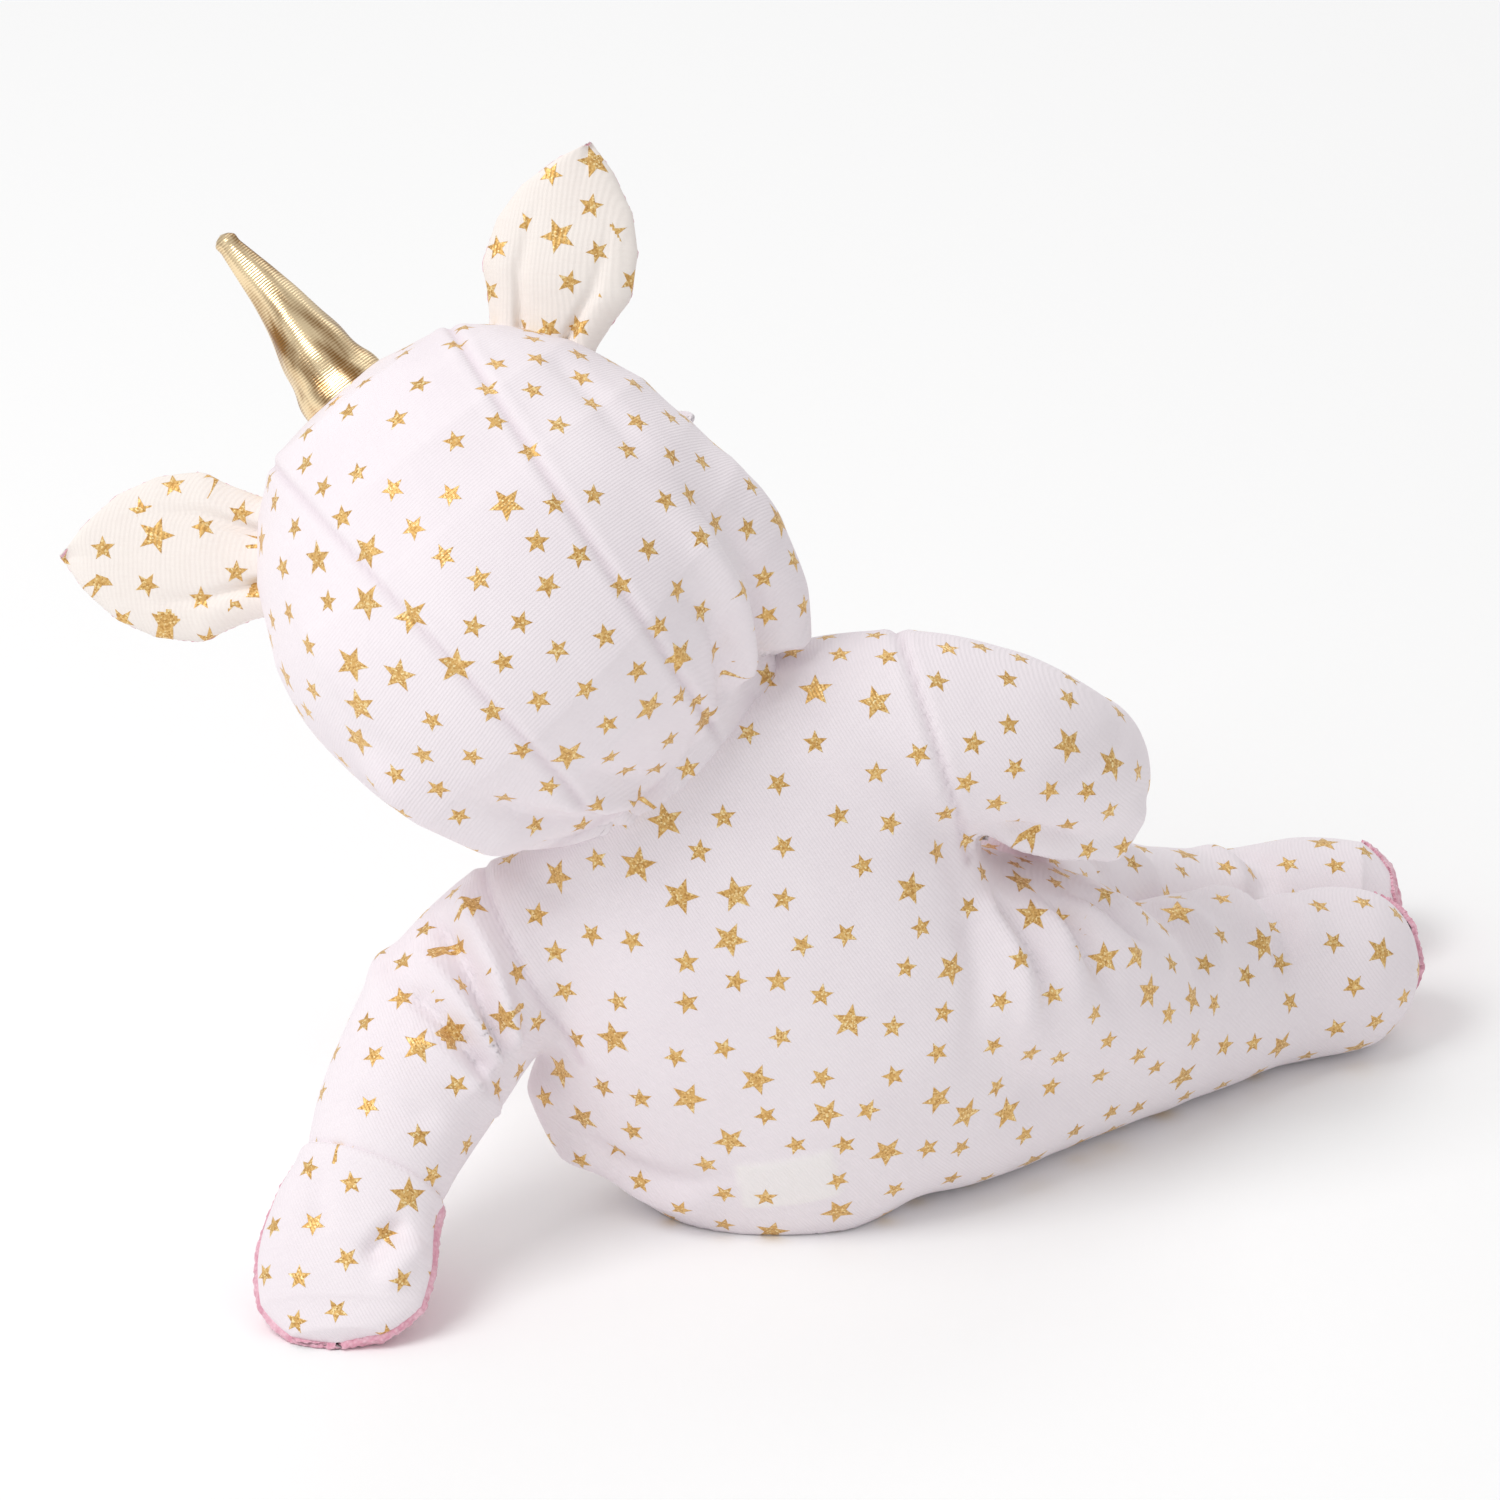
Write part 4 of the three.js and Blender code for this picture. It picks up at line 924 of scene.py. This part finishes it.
lining_points, lining_faces = tube(with_neck(grid(hood_shape, around(160), np.linspace(0.004, 1, 110), -2.8), 2))
lining = plush("hood_lining_plush", lining_points, lining_faces, ~in_port(lining_points[lining_faces].mean(axis=1)))
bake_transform(lining)
fit(lining, "hood_lining", None)

# The port's edge lies where a sphere through the lining leaves the port, found by halving the angle from the face.
RIM_STEPS, RIM_ROUND = 150, 40
RIM_RADIUS = 5.4
turns = around(RIM_STEPS) * 2 * np.pi
rim_out = np.outer(np.cos(turns), HEAD_RIGHT) + np.outer(np.sin(turns), CROWN_LINE)
low, high = np.zeros(RIM_STEPS), np.full(RIM_STEPS, 1.4)
for _ in range(24):
    opening = (low + high) / 2
    rim_line = HEAD_CENTRE + 66.5 * (FACE_LINE * np.cos(opening)[:, None] + rim_out * np.sin(opening)[:, None])
    inside = in_port(rim_line)
    low, high = np.where(inside, opening, low), np.where(inside, high, opening)
rim_forward = (rim_line - HEAD_CENTRE) / np.linalg.norm(rim_line - HEAD_CENTRE, axis=1, keepdims=True)
rim_side = np.cross(np.roll(rim_line, -1, axis=0) - np.roll(rim_line, 1, axis=0), rim_forward)
rim_side /= np.linalg.norm(rim_side, axis=1, keepdims=True)
ring_turn = around(RIM_ROUND)[None, :, None] * 2 * np.pi
rim_ring = np.cos(ring_turn) * rim_side[:, None] + np.sin(ring_turn) * rim_forward[:, None]
rim_points = (rim_line[:, None] + RIM_RADIUS * rim_ring).reshape(-1, 3)
rim_index = np.arange(RIM_STEPS * RIM_ROUND).reshape(RIM_STEPS, RIM_ROUND)
rim_after = np.roll(rim_index, -1, 0)
rim_corners = [rim_index, rim_after, np.roll(rim_after, -1, 1), np.roll(rim_index, -1, 1)]
rim_faces = np.stack(rim_corners, -1).reshape(-1, 4)
rim_faces = facing_out(rim_points, rim_faces, rim_ring.reshape(-1, 3))
rim = plush("hood_port_edge", rim_points, rim_faces, seed=4)
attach(rim, "head")


# ---- Mittens ----
# A back of the printed jersey and a plush palm, cut a little larger, so that it shows round the back's edge.
def tip_share(rows, columns, length=0.04):
    """How much of its thickness a wall has at each point of a tube: all of it, but little at the closed tip."""
    share = np.clip((rows[-1] - rows) / length, 0.05, 1)
    return np.append(np.repeat(share, columns), [1, 0.05])


MITTEN_COLUMNS, MITTEN_ROWS, PALM_COLUMNS, PALM_ROWS = 120, 110, 150, 140
for side, seed in (("left", 21), ("right", 22)):
    shape = arm_shape[side]
    rows = np.linspace(CUFF_AT - 0.012, 0.995, MITTEN_ROWS)
    off = 0.5 - 3 * bell(rows - rows[0], 0.012)
    points, faces = tube(grid(shape, around(MITTEN_COLUMNS), rows, off[:, None] + np.zeros(MITTEN_COLUMNS)))
    cuff_point = shape(np.array([0.0, 0.5]), CUFF_AT).mean(axis=0)
    cuff_line = unit(shape(np.array([0.0, 0.5]), CUFF_AT + 0.03).mean(axis=0) - cuff_point)
    points = lifted(points, faces, [
        (on(shape, (0.10, 0.56), (0.16, 0.62), (0.20, 0.70)), -2.0, 3.0, EVEN),
        (on(shape, (0.05, 0.60), (0.12, 0.68), (0.16, 0.78)), 1.6, 4.0, EVEN),
        (on(shape, (0.34, 0.50), (0.30, 0.58), (0.28, 0.66)), -0.9, 4.0, EVEN),
    ], [beyond(points, cuff_point, cuff_line)])
    points[:, 2] = np.maximum(points[:, 2], ABOVE_FLOOR)
    column = np.arange(len(faces)) % MITTEN_COLUMNS
    is_side = np.arange(len(faces)) < MITTEN_COLUMNS * (MITTEN_ROWS - 1)
    back = cloth(side + "_mitten_back_cloth", keep=((column < 64) | (column >= 116)) & is_side,
                 thick=JERSEY * tip_share(rows, MITTEN_COLUMNS), **cut_from(points, faces, body_jersey, seed))
    fit(back, side + "_mitten_back", side + "_arm")
    rows = np.linspace(CUFF_AT + 0.004, 0.995, PALM_ROWS)
    turn = np.abs(around(PALM_COLUMNS) - 0.75)
    turn = np.minimum(turn, 1 - turn)
    off = 1.9 - 3.4 * np.clip((turn - 0.235) / 0.03, 0, 1) ** 2 - 3 * bell(rows - rows[0], 0.012)[:, None]
    points, faces = tube(grid(shape, around(PALM_COLUMNS), rows, off))
    points[:, 2] = np.maximum(points[:, 2], 0.2)
    chosen = np.append(np.tile(turn, PALM_ROWS - 1) < 0.268, np.zeros(2 * PALM_COLUMNS, bool))
    palm = plush(side + "_mitten_palm_plush", points, faces, chosen, seed=seed,
                 thick=PLUSH * tip_share(rows, PALM_COLUMNS))
    fit(palm, side + "_mitten_palm", side + "_arm")

# ---- Soles ----
# An oval of plush over the end of each foot.
for side, facing, seed in (("left", unit(0.74, 0.67, 0.0), 31), ("right", unit(0.9, 0.34, 0.26), 32)):
    points, faces = tube(grid(leg_shape[side], around(150), np.linspace(0.74, 0.995, 100), 0.9))
    points[:, 2] = np.maximum(points[:, 2], 0.2)
    over_end = normals_of(points, faces)[faces].mean(axis=1) @ facing > 0.78
    sole = plush(side + "_sole_plush", points, faces, over_end, seed=seed)
    fit(sole, side + "_sole", side + "_leg")

# ---- Horn ----
# Stretch lamé: gold foil on a fine knit, sewn as a cone, stuffed, and tied off at the tip, where a small knob is
# left. The knit's ribs run round it, drawn 0.8 mm apart, and the foil throws one long highlight. Its colour also
# runs in dark and pale streaks along it, which are painted reflections over the foil's own uneven tone.
HORN_LENGTH, HORN_BASE = 56, 12.9
horn_foot = HOOD_TOP - 3 * HEAD_RIGHT - 3 * HORN_LINE
horn_back = np.cross(HEAD_RIGHT, HORN_LINE)
horn_share = np.linspace(-0.12, 1, 170)
horn_turn = around(96)
profile_at = np.array([-0.12, 0, 0.1, 0.25, 0.5, 0.8, 0.9, 0.935, 0.965, 0.985, 1.0])
profile = np.array([0.98, 1.0, 0.93, 0.80, 0.56, 0.34, 0.27, 0.24, 0.285, 0.22, 0.02]) * HORN_BASE
horn_radius = np.interp(horn_share, profile_at, profile)
horn_radius = np.convolve(np.pad(horn_radius, 3, "edge"), np.ones(7) / 7, "valid")
horn_radius[-3:] = np.array([2.2, 1.4, 0.3])
spin = horn_turn[None, :] * 2 * np.pi
on_horn = np.clip(horn_share, 0, 1)
bend = 0.5 * np.sin(np.pi * on_horn) - 0.4 * np.sin(2.4 * np.pi * on_horn)
up = horn_share[:, None]
creases = (0.35 * np.sin(3 * spin + 6 * up) + 0.22 * np.sin(7 * spin - 9 * up)
           + 0.5 * np.sin(26 * up + 1.5 * np.sin(spin)) * np.exp(-4 * np.abs(up - 0.1)))
swell = horn_radius[:, None] + creases * (horn_radius / HORN_BASE)[:, None]
horn_grid = (horn_foot + HORN_LENGTH * up[..., None] * HORN_LINE + bend[:, None, None] * HEAD_RIGHT
             + swell[..., None] * (np.cos(spin)[..., None] * HEAD_RIGHT + np.sin(spin)[..., None] * horn_back))
gold_lame, tree, shader, place = finish_of("gold_foil_lame", Metallic=1.0, Roughness=0.3, Anisotropic=0.4)
tilt = Vector(HORN_LINE).to_track_quat("X", "Z").inverted().to_euler()
along_horn = node(tree, "Mapping", {"Vector": place, "Rotation": tuple(tilt)}).outputs[0]
knit = node(tree, "TexWave", {"Vector": along_horn, "Scale": WAVE / 0.0008, "Distortion": 1.5, "Detail": 2.0,
                              "Detail Scale": 1.5}).outputs["Fac"]
# Streaks along the horn from dark brown to pale gold are painted reflections in the foil's colour, over its own
# uneven tone.
drawn = node(tree, "Mapping", {"Vector": along_horn, "Scale": (28, 210, 210)}).outputs[0]
foil_tone_and_painted_reflections = node(tree, "TexNoise", {"Vector": drawn, "Scale": 1.0, "Detail": 3.0}).outputs["Fac"]
foil_tone_and_painted_reflections = node(tree, "Math", {0: knit, 1: 0.12, 2: foil_tone_and_painted_reflections}, operation="MULTIPLY_ADD").outputs[0]
two_tone(tree, shader, foil_tone_and_painted_reflections, 0.4, 0.68, "936A3C", "F8E0B6", 0.7, 0.0006)


def cast(name, points, faces, material):
    """A closed shape of millimetre points as a piece."""
    return piece_of(name, raw_mesh(name, points + SHIFT, faces), material)


horn_points, horn_faces = tube(horn_grid)
horn_faces = facing_out(horn_points, horn_faces)
horn = cast("horn_cover_lame", horn_points, horn_faces, gold_lame)
fit(horn, "horn_cover", "head")
fibre_white, tree, shader, place = finish_of("white_polyester_fibre", Roughness=1.0)
fibres = node(tree, "TexNoise", {"Vector": place, "Scale": 400.0, "Detail": 4.0}).outputs["Fac"]
two_tone(tree, shader, fibres, 0, 1, "E4E4E4", "FAFAFA", 0.6, 0.001)
core = horn_grid[:150] + (horn_grid[:150].mean(axis=1, keepdims=True) - horn_grid[:150]) * 0.16
core_points, core_faces = tube(core)
horn_fill = cast("horn_fibre_filling", core_points, facing_out(core_points, core_faces), fibre_white)
fit(horn_fill, "horn_filling", "head")

# ---- Ears ----
# A leaf of printed jersey behind and pink plush in front, thinly stuffed, with two pleats folded at its base before
# it was caught in the hood's seam. The jersey is a little creamier than the suit's, from the lining behind it.
EAR_LENGTH = 54
EAR_WIDTH = {"left": 1.0, "right": 0.9}
EAR_COLUMNS, EAR_ROWS = 128, 96
EAR_PLACE, EAR_LEAN = math.radians(46), math.radians(52)  # from the horn's line
EAR_STATIONS = ((-0.1, 16, 4.2), (0.0, 17.5, 4.4), (0.12, 20, 5.0), (0.3, 23.5, 5.6), (0.5, 22.5, 5.4),
                (0.7, 17.5, 4.6), (0.88, 8.5, 3.2), (1.0, 0, 0))
ear_jersey = jersey("printed_cotton_jersey_ears", "F7F0EA", "F1E8E2", (0.4, 0.0, 0.9))
for side, sign, seed in (("left", -1, 41), ("right", 1, 42)):
    ear_foot = HEAD_CENTRE + 71.5 * (HORN_LINE * math.cos(EAR_PLACE) + HEAD_RIGHT * sign * math.sin(EAR_PLACE))
    ear_line = HORN_LINE * math.cos(EAR_LEAN) + HEAD_RIGHT * sign * math.sin(EAR_LEAN)
    leaf = loft([(ear_foot + ear_line * EAR_LENGTH * up, wide * EAR_WIDTH[side], deep)
                 for up, wide, deep in EAR_STATIONS], unit(np.cross(ear_line, HOOD_FRONT)))
    u, v = around(EAR_COLUMNS), np.linspace(0, 0.995, EAR_ROWS)
    across, up = np.cos(2 * np.pi * u)[None, :], v[:, None]
    aside = np.abs(across)
    is_behind = np.sin(2 * np.pi * u)[None, :] > 0
    fade = np.clip(1 - up / 0.72, 0, 1) ** 1.3
    pleat = (-3.6 * bell(aside - (0.40 + 0.25 * up), 0.085) + 1.5 * bell(across, 0.3)
             + 1.2 * bell(aside - 0.72, 0.2)) * fade
    lift = np.where(is_behind, pleat, 0.8 * bell(aside - 0.5, 0.12) * fade)
    curl = -2.75 * bell(up - 0.92, 0.2) * (across * sign > 0) * aside
    points, faces = tube(grid(leaf, u, v) + (curl - lift)[..., None] * HOOD_FRONT)
    points = points + normals_of(points, faces) * (0.35 * ruffle(points, 18, seed))[:, None]
    number = np.arange(len(faces))
    half = number % EAR_COLUMNS < EAR_COLUMNS // 2
    is_wall = (number < EAR_COLUMNS * (EAR_ROWS - 1)) | (number >= EAR_COLUMNS * EAR_ROWS)
    thinner = np.append(np.repeat(np.clip((1 - v) / 0.14, 0.02, 1), EAR_COLUMNS), [1, 0.02])
    ear_back = cloth(side + "_ear_back_cloth", keep=half & is_wall, thick=0.8 * thinner,
                     **cut_from(points, faces, ear_jersey, seed))
    ear_front = plush(side + "_ear_front_plush", points, faces, ~half & is_wall, seed=seed, ragged=0.2,
                      thick=PLUSH * thinner)
    for ear_half, node_name, slot in ((ear_back, "_ear_back", "jersey"), (ear_front, "_ear_front", "plush")):
        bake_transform(ear_half)
        fit(ear_half, side + node_name)

# ---- Head and limbs ----
# Soft matt vinyl, cast in one piece with a sleeping face and a short neck that plugs into the body. The cheeks are
# sprayed rosy, and lashes, brows and lips are painted. The face is a plain calm one of no particular child.
HEAD_HALF = np.array([62.4, 62.0, 66.0])  # half widths to the side, to the front and up
HEAD_COLUMNS, HEAD_ROWS = 320, 230
turn_share = np.linspace(-1, 1, HEAD_COLUMNS, endpoint=False)
head_turn = (np.pi * (0.5 * turn_share + 0.5 * turn_share**3))[None, :]
head_down = np.linspace(0.004, np.pi - 0.004, HEAD_ROWS)[:, None]
head_way = (np.cos(head_down)[..., None] * CROWN_LINE + np.sin(head_down)[..., None] * (
    np.cos(head_turn)[..., None] * FACE_LINE + np.sin(head_turn)[..., None] * HEAD_RIGHT))
head_reach = 1 / np.sqrt((((head_way @ np.stack([HEAD_RIGHT, HOOD_FRONT, HORN_LINE]).T) / HEAD_HALF) ** 2).sum(-1))
FACE_REACH = 62  # the face is drawn on a ball of this radius
face_x = np.abs(head_way @ HEAD_RIGHT) * FACE_REACH
face_y = head_way @ CROWN_LINE * FACE_REACH
in_front = head_way @ FACE_LINE > 0.2


def bump_at(x, y, wide, tall):
    """A round bump of the face, the same on both sides: a bell across times a bell up."""
    return bell(face_x - x, wide) * bell(face_y - y, tall)


relief = (3.0 * bump_at(23, -13, 12, 10)  # cheeks
          + 5.4 * bump_at(0, -3.5, 4.8, 4.4) + 1.8 * bump_at(0, 4, 3.4, 9) + 1.3 * bump_at(4.4, -5, 2.4, 2.2)  # nose
          - 1.6 * bump_at(3.2, -7.6, 1.4, 1.0)  # nostrils
          - 2.6 * bump_at(16, 7, 9, 6.5) + 3.0 * bump_at(16.5, 6, 6.8, 4.6)  # eye sockets and closed lids
          + 1.9 * bump_at(2.6, -15.2, 3.4, 1.5) + 2.2 * bump_at(0, -18.8, 4.6, 1.8)  # lips
          - 1.5 * bump_at(0, -17.0, 6.0, 0.6) - 0.7 * bump_at(0, -11.8, 1.5, 2.4)  # mouth and the dent above it
          + 3.2 * bump_at(0, -27, 8, 5.5) - 1.0 * bump_at(0, -22.8, 7, 2))  # chin
head_grid = HEAD_CENTRE + head_way * (head_reach + np.where(in_front, relief, 0))[..., None]
head_points, head_faces = tube(head_grid)
stem = loft([(PLAN_NECK + NECK_LINE * up, wide, wide * 0.8)
             for up, wide in ((26, 22), (12, 17), (3, 14.5), (-2, 14))], HEAD_RIGHT)
stem_points, stem_faces = tube(grid(stem, around(80), np.linspace(0, 1, 20)))
all_points, all_faces = joined((head_points, facing_out(head_points, head_faces)),
                               (stem_points, facing_out(stem_points, stem_faces)))

vinyl, tree, shader, place = finish_of("cast_soft_vinyl", Roughness=0.5, Specular_IOR_Level=0.35)
face_uv = node(tree, "UVMap", uv_map="face").outputs["UV"]
face_up = node(tree, "SeparateXYZ", {0: face_uv}).outputs["Y"]
skin_specks = node(tree, "TexNoise", {"Vector": place, "Scale": 90.0, "Detail": 4.0}).outputs["Fac"]


def arc_mask(x, y, radius, thick, low, high):
    """1 on a thin arc of a circle about (x, y), where it lies between two heights, all in face millimetres."""
    away = node(tree, "VectorMath", {0: face_uv, 1: (x, y, 0)}, operation="DISTANCE").outputs["Value"]
    off = node(tree, "Math", {0: away, 1: radius}, operation="SUBTRACT").outputs[0]
    off = node(tree, "Math", {0: off}, operation="ABSOLUTE").outputs[0]
    mask = node(tree, "MapRange", {"Value": off, "From Min": thick, "From Max": thick * 0.4}).outputs[0]
    for limit, far in ((low, low + 0.8), (high, high - 0.8)):
        side = node(tree, "MapRange", {"Value": face_up, "From Min": limit, "From Max": far}).outputs[0]
        mask = node(tree, "Math", {0: mask, 1: side}, operation="MULTIPLY").outputs[0]
    return mask


skin = linear("EFC4AC")
rosy, lip_paint = (node(tree, "Attribute", attribute_name=mark).outputs["Fac"] for mark in ("blush", "lips"))
lashes, brows = arc_mask(16.5, 12.5, 9.6, 0.75, 0, 6.4), arc_mask(16.5, 1.0, 17.5, 0.8, 15.8, 30)
for mask, tint in ((skin_specks, "F6D2BD"), (rosy, "E58C80"), (lip_paint, "D2706F"), (lashes, "5A3A28"),
                   (brows, "B08560")):
    skin = node(tree, "Mix", {"Factor": mask, 6: skin, 7: linear(tint)}, data_type="RGBA").outputs[2]
show(tree, shader, skin, skin_specks, 0.15, 0.0003)
vinyl_head = cast("vinyl_head_cast", all_points, all_faces, vinyl)
corner_at = np.zeros(len(vinyl_head.data.loops), np.int64)
vinyl_head.data.loops.foreach_get("vertex_index", corner_at)
face_off = all_points - HEAD_CENTRE
face_off /= np.linalg.norm(face_off, axis=1, keepdims=True)
OFF_FACE = 200  # where a limb or the back of the head lies on the face's map
face_place = np.stack([np.abs(face_off @ HEAD_RIGHT), face_off @ CROWN_LINE], -1) * FACE_REACH
face_place[face_off @ FACE_LINE < 0.2] = OFF_FACE
face_layer = vinyl_head.data.uv_layers.new(name="face")
face_layer.data.foreach_set("uv", face_place[corner_at].astype(np.float32).ravel())
face_x, face_y = face_place.T
blush = 0.55 * bump_at(24, -12, 11, 9) + 0.25 * bump_at(0, -3, 4, 3) + 0.2 * bump_at(0, -27, 7, 5)
lips = 0.75 * np.clip(bump_at(2.6, -15.4, 3.6, 1.5) + bump_at(0, -18.6, 4.4, 1.8), 0, 1)
for mark, amount in (("blush", blush), ("lips", lips)):
    layer = vinyl_head.data.attributes.new(mark, "FLOAT", "POINT")
    layer.data.foreach_set("value", amount.astype(np.float32))
fit(vinyl_head, "vinyl_head", "head")
LIMB_INSET = -4.6  # under the cloth
LIMB_ROOT = {"arm": 0.09, "leg": 0.15}  # where each limb starts, as a share of its length
for limb, shapes in (("arm", arm_shape), ("leg", leg_shape)):
    for side in ("left", "right"):
        rows = np.linspace(LIMB_ROOT[limb], 0.965, 120)
        off = LIMB_INSET - 7 * bell(rows - rows[0], 0.05)
        points, faces = tube(grid(shapes[side], around(72), rows, off[:, None] + np.zeros(72)))
        limb_cast = cast(f"{side}_{limb}_body_cast", points, faces, vinyl)
        layer = limb_cast.data.uv_layers.new(name="face")
        layer.data.foreach_set("uv", np.full(len(limb_cast.data.loops) * 2, OFF_FACE, np.float32))
        fit(limb_cast, f"{side}_{limb}_body", f"{side}_{limb}")

# ---- Stuffed body and its ties ----
# Plain woven cotton, sewn as a bag and filled with fibre. Nylon cable ties hold the vinyl neck and limbs in its
# gathered openings.
body_cotton, tree, shader, place = finish_of("plain_woven_cotton", Roughness=0.9)
warp, weft = (node(tree, "TexWave", {"Vector": place, "Scale": WAVE / 0.0008}, bands_direction=way).outputs["Fac"]
              for way in ("X", "Z"))
weave = node(tree, "Math", {0: warp, 1: weft}, operation="MULTIPLY").outputs[0]
two_tone(tree, shader, weave, 0, 1, "E6C8BA", "F0D6CA", 0.4, 0.0002)
body_turn, body_row = around(160), np.linspace(0.08, 0.985, 130)
side_seam = np.minimum(np.abs(body_turn - 0.5), np.minimum(body_turn, 1 - body_turn))
body_off = -6.2 - 1.6 * bell(side_seam[None, :], 0.006) + np.zeros((len(body_row), 1))
body_points, body_faces = tube(grid(torso_shape, body_turn, body_row, body_off))
body_points = body_points + normals_of(body_points, body_faces) * (0.8 * ruffle(body_points, 26, 51))[:, None]
body_points[:, 2] = np.maximum(body_points[:, 2], 3)
body = cast("torso_stuffed_cotton", body_points, body_faces, body_cotton)
fit(body, "torso_body", "torso")
nylon, tree, shader, place = finish_of("moulded_white_nylon", Roughness=0.45)
nylon_specks = node(tree, "TexNoise", {"Vector": place, "Scale": 300.0, "Detail": 3.0}).outputs["Fac"]
two_tone(tree, shader, nylon_specks, 0, 1, "EDEDE8", "F8F8F5")
for tie in ("neck_tie", "left_arm_tie", "right_arm_tie", "left_leg_tie", "right_leg_tie"):
    frame["nodes"][tie].data.materials.clear()
    frame["nodes"][tie].data.materials.append(nylon)


# ---- Placket, press studs and care label ----
# The suit opens down the front. A doubled strip of the jersey carries three plastic press studs with domed caps, and
# a blank tape label is caught in the lining behind the seat, where it shows through the cloth as a faint oblong.
def patch(points):
    """Faces of an open grid of points, and its corners as one row."""
    rows, cols = points.shape[:2]
    index = np.arange(rows * cols).reshape(rows, cols)
    faces = np.stack([index[:-1, :-1], index[:-1, 1:], index[1:, 1:], index[1:, :-1]], -1).reshape(-1, 4)
    return points.reshape(-1, 3), faces


FRONT = 0.75  # the middle of the front, and half the placket's width, as shares of the way round
PLACKET_HALF = 0.018
placket_turn, placket_row = np.linspace(-1, 1, 30), np.linspace(0.08, 0.585, 170)
edge_share = np.abs(placket_turn)
placket_off = 1.9 - 0.9 * edge_share**6 - 0.35 * bell(edge_share - 0.8, 0.05)  # rounded edges, a row of stitching
placket_points, placket_faces = patch(grid(torso_shape, FRONT + PLACKET_HALF * placket_turn, placket_row,
                                           placket_off[None, :] + np.zeros((len(placket_row), 1))))
front_way = torso_shape(FRONT, 0.3, 5.0) - torso_shape(FRONT, 0.3)
placket_faces = facing_out(placket_points, placket_faces, front_way)
placket = cloth("front_placket_cloth", thick=1.5, **cut_from(placket_points, placket_faces, body_jersey, 61))
fit(placket, "front_placket", "torso")

STUD_RADIUS = 5.0
stud_resin, tree, shader, place = finish_of("moulded_acetal_resin", Roughness=0.25)
resin_specks = node(tree, "TexNoise", {"Vector": place, "Scale": 500.0, "Detail": 2.0}).outputs["Fac"]
two_tone(tree, shader, resin_specks, 0, 1, "F3ECE9", "FBF7F4")
stud_radius = np.array([0.02, 0.5, 0.9, 1.1, 1.5, 2.5, 3.5, 4.2, 4.6, 4.6, 4.0]) / 4.6 * STUD_RADIUS
stud_height = np.array([1.5, 1.5, 1.55, 1.8, 1.85, 1.75, 1.5, 1.1, 0.5, -0.1, -0.2])
turns = around(40)[None, :, None] * 2 * np.pi
for number, row in enumerate((0.148, 0.296, 0.444), 1):
    stud_middle = torso_shape(FRONT, row, 1.9)
    stud_out = unit(torso_shape(FRONT, row, 3.0) - stud_middle)
    stud_side = unit(np.cross(stud_out, NECK_LINE))
    stud_up = np.cross(stud_out, stud_side)
    points, faces = tube(stud_middle + stud_out * stud_height[:, None, None]
                         + stud_radius[:, None, None] * (np.cos(turns) * stud_side + np.sin(turns) * stud_up))
    stud = cast(f"press_stud_{number}_cap", points, facing_out(points, faces, points - stud_middle), stud_resin)
    fit(stud, f"press_stud_{number}", "torso")

LABEL_UNDER = -1.7  # inside the suit's back
tape, tree, shader, place = finish_of("woven_satin_tape", Roughness=0.55)
satin = node(tree, "TexWave", {"Vector": place, "Scale": WAVE / 0.0007, "Distortion": 0.4}).outputs["Fac"]
two_tone(tree, shader, satin, 0, 1, "EFEFEC", "FBFBF9")
label_points, label_faces = patch(grid(torso_shape, np.linspace(0.258, 0.342, 40), np.linspace(0.598, 0.662, 26),
                                       LABEL_UNDER))
label_faces = facing_out(label_points, label_faces, torso_shape(0.3, 0.63, 5.0) - torso_shape(0.3, 0.63))
label = cloth("care_label_tape", label_points, label_faces, normals_of(label_points, label_faces), tape, thick=0.35)
fit(label, "care_label", "torso")

# ---- Floor and light ----
# Matt white paper, seen as a plain pale floor, under two soft boxes and an even white room.
floor_mesh = bpy.data.meshes.new("floor")
floor_mesh.from_pydata([(-6, -6, 0), (6, -6, 0), (6, 6, 0), (-6, 6, 0)], [], [(0, 1, 2, 3)])
floor_mesh.materials.append(finish_of("matt_white_paper", Roughness=0.9, Base_Color=linear("FFFFFF"))[0])
floor = bpy.data.objects.new("floor", floor_mesh)
scene.collection.objects.link(floor)


def lamp(name, place, size, power):
    """A square soft box at a place in metres, turned to the doll."""
    light = bpy.data.objects.new(name, bpy.data.lights.new(name, "AREA"))
    light.data.size, light.data.energy = size, power
    light.location = place
    light.rotation_euler = (Vector((0, 0, 0.1)) - Vector(place)).to_track_quat("-Z", "Y").to_euler()
    scene.collection.objects.link(light)


lamp("key", (-1.1, -0.8, 1.8), 1.1, 21)
lamp("back", (0.2, 1.4, 1.5), 1.2, 5)
world = bpy.data.worlds.new("studio")
world.use_nodes = True
world.node_tree.nodes["Background"].inputs["Color"].default_value = (1, 1, 1, 1)
world.node_tree.nodes["Background"].inputs["Strength"].default_value = 0.62
scene.world = world
scene.view_settings.view_transform = "Standard"
